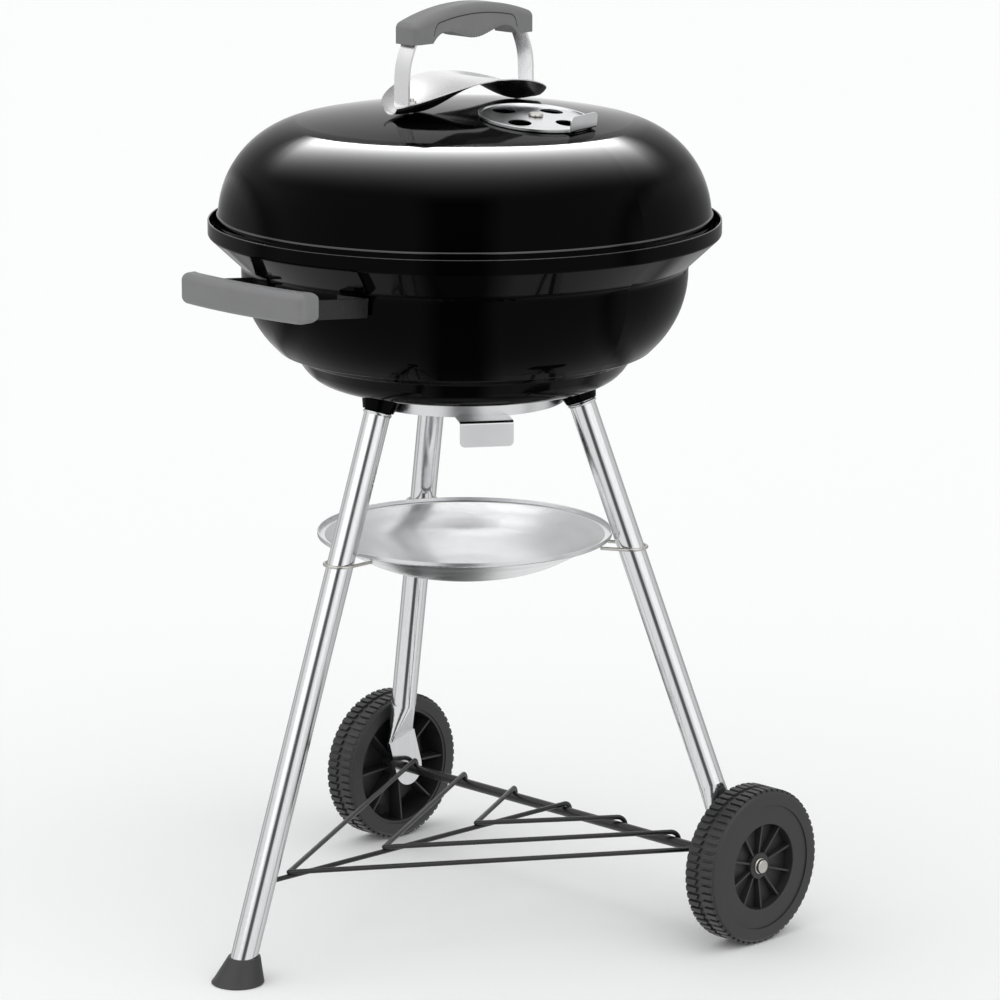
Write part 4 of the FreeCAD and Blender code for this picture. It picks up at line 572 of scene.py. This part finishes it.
foot_radius = wall_at("lid_shell", foot_height)
make_bead("rim_bead", RIM_R - 1.05 * RIM_BEAD, rim_top - 0.5 * RIM_BEAD, RIM_BEAD, "stand")
make_bead("lid_foot_bead", foot_radius - 0.2 * FOOT_BEAD, foot_height, FOOT_BEAD, "lid")
wear(beaded_enamel, "rim_bead", "lid_foot_bead")
print(f"rim bead at {rim_top:.4f} m, lid bead {foot_radius * 2:.4f} m across")

# %% [markdown]
# ## The lid's grip
# The grip is moulded in two parts, and the seam between them is a fine dark line of painted shade that
# arches along each side. Under the belly run twenty fine ribs for the fingers, and each turns a few
# millimetres up both sides. The ribs are two small bars with drawn-in ends, copied. Their heights are read
# off the grip itself, looking up from below.

# %% Ribs under the grip
grip_low, grip_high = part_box("lid_handle_grip")
grip_middle = (grip_low + grip_high) / 2
grip = bpy.data.objects["lid_handle_grip"]
RIB_R, RIB_PITCH, RIB_COUNT, SIDE_RIB = 0.9 * MM, 3.4 * MM, 20, 6 * MM


def grip_surface(along, downwards):
    """Height of the grip's top or underside at a distance along it from its middle."""
    height = grip_high.z + 0.02 if downwards else grip_low.z - 0.02
    start = Vector((grip_middle.x, grip_middle.y + along, height))
    _, place, _, _ = grip.ray_cast(start, Vector((0, 0, -1 if downwards else 1)))
    return place.z


def make_rib(long):
    """A straight rib along X, with both ends drawn in to half their thickness."""
    start_fresh()
    bpy.ops.mesh.primitive_cylinder_add(
        vertices=12, radius=RIB_R, depth=long, location=(0, 0, 0), rotation=(0, math.pi / 2, 0))
    rib = bpy.context.object
    bpy.ops.object.transform_apply(location=True, rotation=True, scale=True)
    bpy.ops.object.mode_set(mode="EDIT")
    bpy.ops.mesh.select_all(action="SELECT")
    bpy.ops.mesh.bisect(plane_co=(long / 2 - RIB_R, 0, 0), plane_no=(1, 0, 0))
    bpy.ops.mesh.select_all(action="SELECT")
    bpy.ops.mesh.bisect(plane_co=(RIB_R - long / 2, 0, 0), plane_no=(1, 0, 0))
    pick(rib, lambda co: abs(co.x) > long / 2 - 0.5 * RIB_R)
    bpy.ops.transform.resize(value=(1, 0.5, 0.5))
    bpy.ops.object.mode_set(mode="OBJECT")
    return rib


def make_ribs():
    """Ribs across the belly, each carried a little way up both sides of the grip."""
    half = (grip_high.x - grip_low.x) / 2
    flat_rib = make_rib(2 * half)
    side_rib = make_rib(SIDE_RIB)
    side_x, side_z = half - 0.6 * RIB_R, SIDE_RIB / 2 - 0.5 * RIB_R
    copies = []
    for step in range(RIB_COUNT):
        along = (step - (RIB_COUNT - 1) / 2) * RIB_PITCH
        under = grip_surface(along, downwards=False)
        for pattern, x, z, turn in (
                (flat_rib, 0, 0.35 * RIB_R, 0),
                (side_rib, side_x, side_z, math.pi / 2),
                (side_rib, -side_x, side_z, math.pi / 2)):
            copy = pattern.copy()
            copy.data = pattern.data.copy()
            bpy.context.scene.collection.objects.link(copy)
            copy.location = (grip_middle.x + x, grip_middle.y + along, under + z)
            copy.rotation_euler = (0, turn, 0)
            copies.append(copy)
    bpy.data.objects.remove(flat_rib)
    bpy.data.objects.remove(side_rib)
    bpy.ops.object.select_all(action="DESELECT")
    for copy in copies:
        copy.select_set(True)
    bpy.context.view_layer.objects.active = copies[0]
    bpy.ops.object.join()
    ribs = settle(copies[0], "lid_grip_ribs")
    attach(ribs, "lid")
    return ribs


ribs = make_ribs()
wear(nylon, "lid_grip_ribs")
print(f"{RIB_COUNT} ribs, {RIB_PITCH / MM:.1f} mm apart, {len(ribs.data.polygons)} faces")

# %% [markdown]
# The seam is a flat strip of painted shade, a fraction of a millimetre thick. It starts as a row of squares
# laid along the grip, and each is then moved to its place under the top's arch. Near the end blocks the
# seam turns down.

# %% The seam along each side of the grip
SEAM_TALL, SEAM_PROUD, SEAM_DROP, SEAM_STEPS = 0.9 * MM, 0.12 * MM, 9.5 * MM, 60
TURN_FROM, TURN_TO, TURN_DROP = 47 * MM, 55 * MM, 10 * MM


def make_seam(side):
    """The seam's dark strip of painted shade on the grip's side towards +X (side 1) or -X (side -1)."""
    start_fresh()
    bpy.ops.mesh.primitive_grid_add(x_subdivisions=SEAM_STEPS, y_subdivisions=1, size=1, location=(0, 0, 0))
    seam = bpy.context.object
    face_x = grip_high.x + SEAM_PROUD if side > 0 else grip_low.x - SEAM_PROUD
    for vertex in seam.data.vertices:
        along = vertex.co.x * 2 * TURN_TO
        turn = max(0.0, (abs(along) - TURN_FROM) / (TURN_TO - TURN_FROM))
        drop = SEAM_DROP + TURN_DROP * (1 - math.sqrt(1 - min(turn, 1.0) ** 2))
        height = grip_surface(along, downwards=True) - drop + vertex.co.y * SEAM_TALL
        vertex.co = (face_x, grip_middle.y + along, height)
    body = seam.modifiers.new("thickness", "SOLIDIFY")
    body.thickness = 3 * SEAM_PROUD
    body.offset = 0
    bpy.context.view_layer.objects.active = seam
    bpy.ops.object.modifier_apply(modifier=body.name)
    bpy.ops.object.mode_set(mode="EDIT")
    bpy.ops.mesh.select_all(action="SELECT")
    bpy.ops.mesh.normals_make_consistent(inside=False)
    bpy.ops.object.mode_set(mode="OBJECT")
    settle(seam, f"lid_grip_seam_{'right' if side > 0 else 'left'}")
    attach(seam, "lid")
    return seam


for side in (1, -1):
    make_seam(side)
# The seams' dark grey is painted shade, a darkened copy of the grip's nylon.
painted_seam_shade = make_moulded("seam_painted_shade_on_grey_nylon", "#262626", "#1c1c1c", 0.5, 0.6, 0.6, 0.0)
wear(painted_seam_shade, "lid_grip_seam_right", "lid_grip_seam_left")
print(f"seams {SEAM_DROP / MM} mm under the grip's top")

# %% [markdown]
# ## Camera, floor and light
# A long lens from a little above, turned to the corner between the side handle and a wheel. The picture's
# middle is a little right of the lens's own axis, which a small shift gives.

# %% Camera
AZIMUTH, ELEVATION = math.radians(45.29), math.radians(12.65)
DISTANCE, AIM_HEIGHT = 4.578, 0.4178
LENS_MM, SIDE_SHIFT = 170.7, 0.0352
back = Vector((
    math.sin(AZIMUTH) * math.cos(ELEVATION), -math.cos(AZIMUTH) * math.cos(ELEVATION), math.sin(ELEVATION)))
lens = bpy.data.cameras.new("camera")
lens.lens = LENS_MM
lens.shift_x = SIDE_SHIFT
camera = bpy.data.objects.new("camera", lens)
bpy.context.scene.collection.objects.link(camera)
camera.location = Vector((KETTLE.x, KETTLE.y, AIM_HEIGHT)) + back * DISTANCE
camera.rotation_euler = (-back).to_track_quat("-Z", "Y").to_euler()
bpy.context.scene.camera = camera
print(f"camera {DISTANCE} m from the kettle at {tuple(round(v, 3) for v in camera.location)}")

# %% [markdown]
# The floor is matt white card with a barely visible tooth. It is far larger than the picture, so it is also
# the background.

# %% Floor
start_fresh()
bpy.ops.mesh.primitive_plane_add(size=60, location=(0, 0, 0))
floor = bpy.context.object
floor.name = "floor"
card, tree, position = new_finish("white_card")
tooth = add(tree, "ShaderNodeTexNoise", {"Vector": position, "Scale": 1 / (2 * MM), "Detail": 2.0})
tint = add(tree, "ShaderNodeMix", {
    "Factor": tooth.outputs["Fac"], 6: colour("#f6f6f6"), 7: colour("#fafafa")}, data_type="RGBA")
paper = add(tree, "ShaderNodeBsdfPrincipled", {"Base Color": tint.outputs[2], "Roughness": 0.9})
add(tree, "ShaderNodeOutputMaterial", {"Surface": paper.outputs["BSDF"]})
floor.data.materials.append(card)

# %% [markdown]
# The room is evenly lit, and a very soft key and fill come from above, for all but the enamel. Polished
# metal sees a pattern of walls instead of the even room, which gives it its dark and light lines. A glossy
# black dome shows only what it reflects, so a curved diffuser hangs over it, brightest along its far edge.
# Each point of the diffuser is where the dome, at a chosen slope and bearing, mirrors the camera, so the
# band on the lid is laid out directly. Light linking keeps it to the enamel.

# %% Room and key light
right = Vector((math.cos(AZIMUTH), math.sin(AZIMUTH), 0))
ahead = Vector((math.sin(AZIMUTH), -math.cos(AZIMUTH), 0))
lid_middle = Vector((KETTLE.x, KETTLE.y, 0.75))

scene = bpy.context.scene
scene.view_settings.view_transform = "Standard"
room = bpy.data.worlds.new("even_room")
scene.world = room
room.use_nodes = True
room.node_tree.nodes.clear()
TO_CAMERA = back.normalized()

# Each wall's place from left (-1) to right (1) and its grey, for upright metal and for level metal.
UPRIGHT_WALLS = ((-1.0, 0.30), (-0.84, 0.85), (-0.78, 0.40), (-0.70, 0.92), (-0.20, 0.95), (-0.10, 0.10),
                 (0.06, 0.10), (0.15, 0.95), (0.56, 0.92), (0.63, 0.35), (0.70, 0.88), (1.0, 0.30))
LEVEL_WALLS = ((-1.0, 0.40), (-0.55, 0.62), (-0.30, 0.70), (-0.12, 1.10), (0.18, 1.10), (0.38, 0.66),
               (1.0, 0.40))


def mirrored_room(tree):
    """An even room, but white walls with dark gaps where metal mirrors it, laid out by slope and bearing."""
    look = add(tree, "ShaderNodeTexCoord").outputs["Generated"]
    half = add(tree, "ShaderNodeVectorMath", {0: look, 1: tuple(TO_CAMERA)}, operation="ADD")
    half = add(tree, "ShaderNodeVectorMath", {0: half.outputs[0]}, operation="NORMALIZE")
    side = add(tree, "ShaderNodeVectorMath", {0: half.outputs[0], 1: tuple(right)}, operation="DOT_PRODUCT")
    height = add(tree, "ShaderNodeSeparateXYZ", {0: half.outputs[0]}).outputs["Z"]
    across = add(tree, "ShaderNodeMapRange", {
        "Value": side.outputs["Value"], "From Min": -1.0, "From Max": 1.0}).outputs["Result"]
    upright = add(tree, "ShaderNodeValToRGB", {"Fac": across})
    level = add(tree, "ShaderNodeValToRGB", {"Fac": across})
    for ramp, stops in ((upright, UPRIGHT_WALLS), (level, LEVEL_WALLS)):
        while len(ramp.color_ramp.elements) < len(stops):
            ramp.color_ramp.elements.new(0.5)
        for element, (place, grey) in zip(ramp.color_ramp.elements, stops):
            element.position = (place + 1) / 2
            element.color = (grey, grey, grey, 1)
    rise = add(tree, "ShaderNodeMapRange", {
        "Value": height, "From Min": 0.50, "From Max": 0.66}, interpolation_type="SMOOTHSTEP")
    walls = add(tree, "ShaderNodeMix", {
        "Factor": rise.outputs["Result"], 6: upright.outputs["Color"], 7: level.outputs["Color"]},
        data_type="RGBA")
    glossy = add(tree, "ShaderNodeLightPath").outputs["Is Glossy Ray"]
    shown = add(tree, "ShaderNodeMix", {
        "Factor": glossy, 6: colour("#d4d5d5"), 7: walls.outputs[2]}, data_type="RGBA")
    air = add(tree, "ShaderNodeBackground", {"Color": shown.outputs[2], "Strength": 1.0})
    add(tree, "ShaderNodeOutputWorld", {"Surface": air.outputs["Background"]})


mirrored_room(room.node_tree)
floor.visible_glossy = False

ENAMELLED = ["bowl_shell", "lid_shell", "leg_socket_front", "leg_socket_right", "leg_socket_left", "rim_bead",
             "lid_foot_bead"]


def lit_group(name, pieces):
    """A collection that only names which pieces a light falls on."""
    group = bpy.data.collections.new(name)
    for piece in pieces:
        group.objects.link(piece)
    return group


enamelled = lit_group("enamelled", [bpy.data.objects[name] for name in ENAMELLED])
others = lit_group("others", [
    piece for piece in scene.objects if piece.type == "MESH" and piece.name not in ENAMELLED])


def soft_sun(name, towards, strength, spread):
    """A soft, even light from one direction, for all but the enamel."""
    data = bpy.data.lights.new(name, "SUN")
    data.energy = strength
    data.angle = math.radians(spread)
    light = bpy.data.objects.new(name, data)
    scene.collection.objects.link(light)
    light.rotation_euler = towards.to_track_quat("Z", "Y").to_euler()
    light.light_linking.receiver_collection = others
    return light


soft_sun("key", Vector((0, 0, 1)) + ahead * 0.35 - right * 0.3, 1.15, 100)
soft_sun("fill", Vector((0, 0, 0.5)) + ahead * 0.5 + right * 0.6, 0.3, 70)

# %% The curved diffuser over the lid
FAR_SLOPE, FAR_RISE, NEAR_SLOPE, WIDEST = 66.0, 8.0, 31.0, 68.0
ROWS, COLUMNS = 24, 48
REACH, POWER = 2.6, 80.0
SOFT_EDGE, FALL_OFF, LEAST_GLOW = 12, 2.2, 0.35


def mirrored(slope, bearing):
    """Where a surface of this slope and bearing, in degrees, sends the camera's line of sight."""
    slope, bearing = math.radians(slope), math.radians(bearing)
    level = ahead * math.cos(bearing) + right * math.sin(bearing)
    normal = level * math.cos(slope) + Vector((0, 0, math.sin(slope)))
    return 2 * TO_CAMERA.dot(normal) * normal - TO_CAMERA


def make_diffuser():
    """The diffuser's sheet of points, each glowing by its row and its distance from the sheet's two ends."""
    points, glow, faces = [], [], []
    for row in range(ROWS + 1):
        share = row / ROWS
        for column in range(COLUMNS + 1):
            bearing = WIDEST * (2 * column / COLUMNS - 1)
            middle = math.cos(math.radians(bearing)) ** 2
            far = FAR_SLOPE + FAR_RISE * middle
            slope = NEAR_SLOPE + (far - NEAR_SLOPE) * share
            points.append(lid_middle + mirrored(slope, bearing) * REACH)
            edge = min(1.0, (WIDEST - abs(bearing)) / SOFT_EDGE)
            glow.append(share ** FALL_OFF * edge ** 2 * (LEAST_GLOW + (1 - LEAST_GLOW) * middle))
    for row in range(ROWS):
        for column in range(COLUMNS):
            first = row * (COLUMNS + 1) + column
            faces.append((first, first + 1, first + COLUMNS + 2, first + COLUMNS + 1))
    mesh = bpy.data.meshes.new("diffuser")
    mesh.from_pydata(points, [], faces)
    values = mesh.attributes.new("glow", "FLOAT", "POINT")
    values.data.foreach_set("value", glow)
    diffuser = bpy.data.objects.new("diffuser", mesh)
    scene.collection.objects.link(diffuser)
    cloth, tree, _ = new_finish("lit_diffuser_cloth")
    share = add(tree, "ShaderNodeAttribute", attribute_name="glow")
    power = add(tree, "ShaderNodeMath", {0: share.outputs["Fac"], 1: POWER}, operation="MULTIPLY")
    lamp = add(tree, "ShaderNodeEmission", {"Strength": power.outputs[0]})
    open_weave = add(tree, "ShaderNodeBsdfTransparent")
    both = add(tree, "ShaderNodeAddShader", {0: lamp.outputs[0], 1: open_weave.outputs[0]})
    add(tree, "ShaderNodeOutputMaterial", {"Surface": both.outputs[0]})
    mesh.materials.append(cloth)
    diffuser.visible_camera = False
    diffuser.visible_diffuse = False
    diffuser.visible_shadow = False
    diffuser.light_linking.receiver_collection = enamelled
    return diffuser


diffuser = make_diffuser()
print(f"diffuser of {len(diffuser.data.polygons)} faces, mirrored from slopes of {NEAR_SLOPE} degrees up")
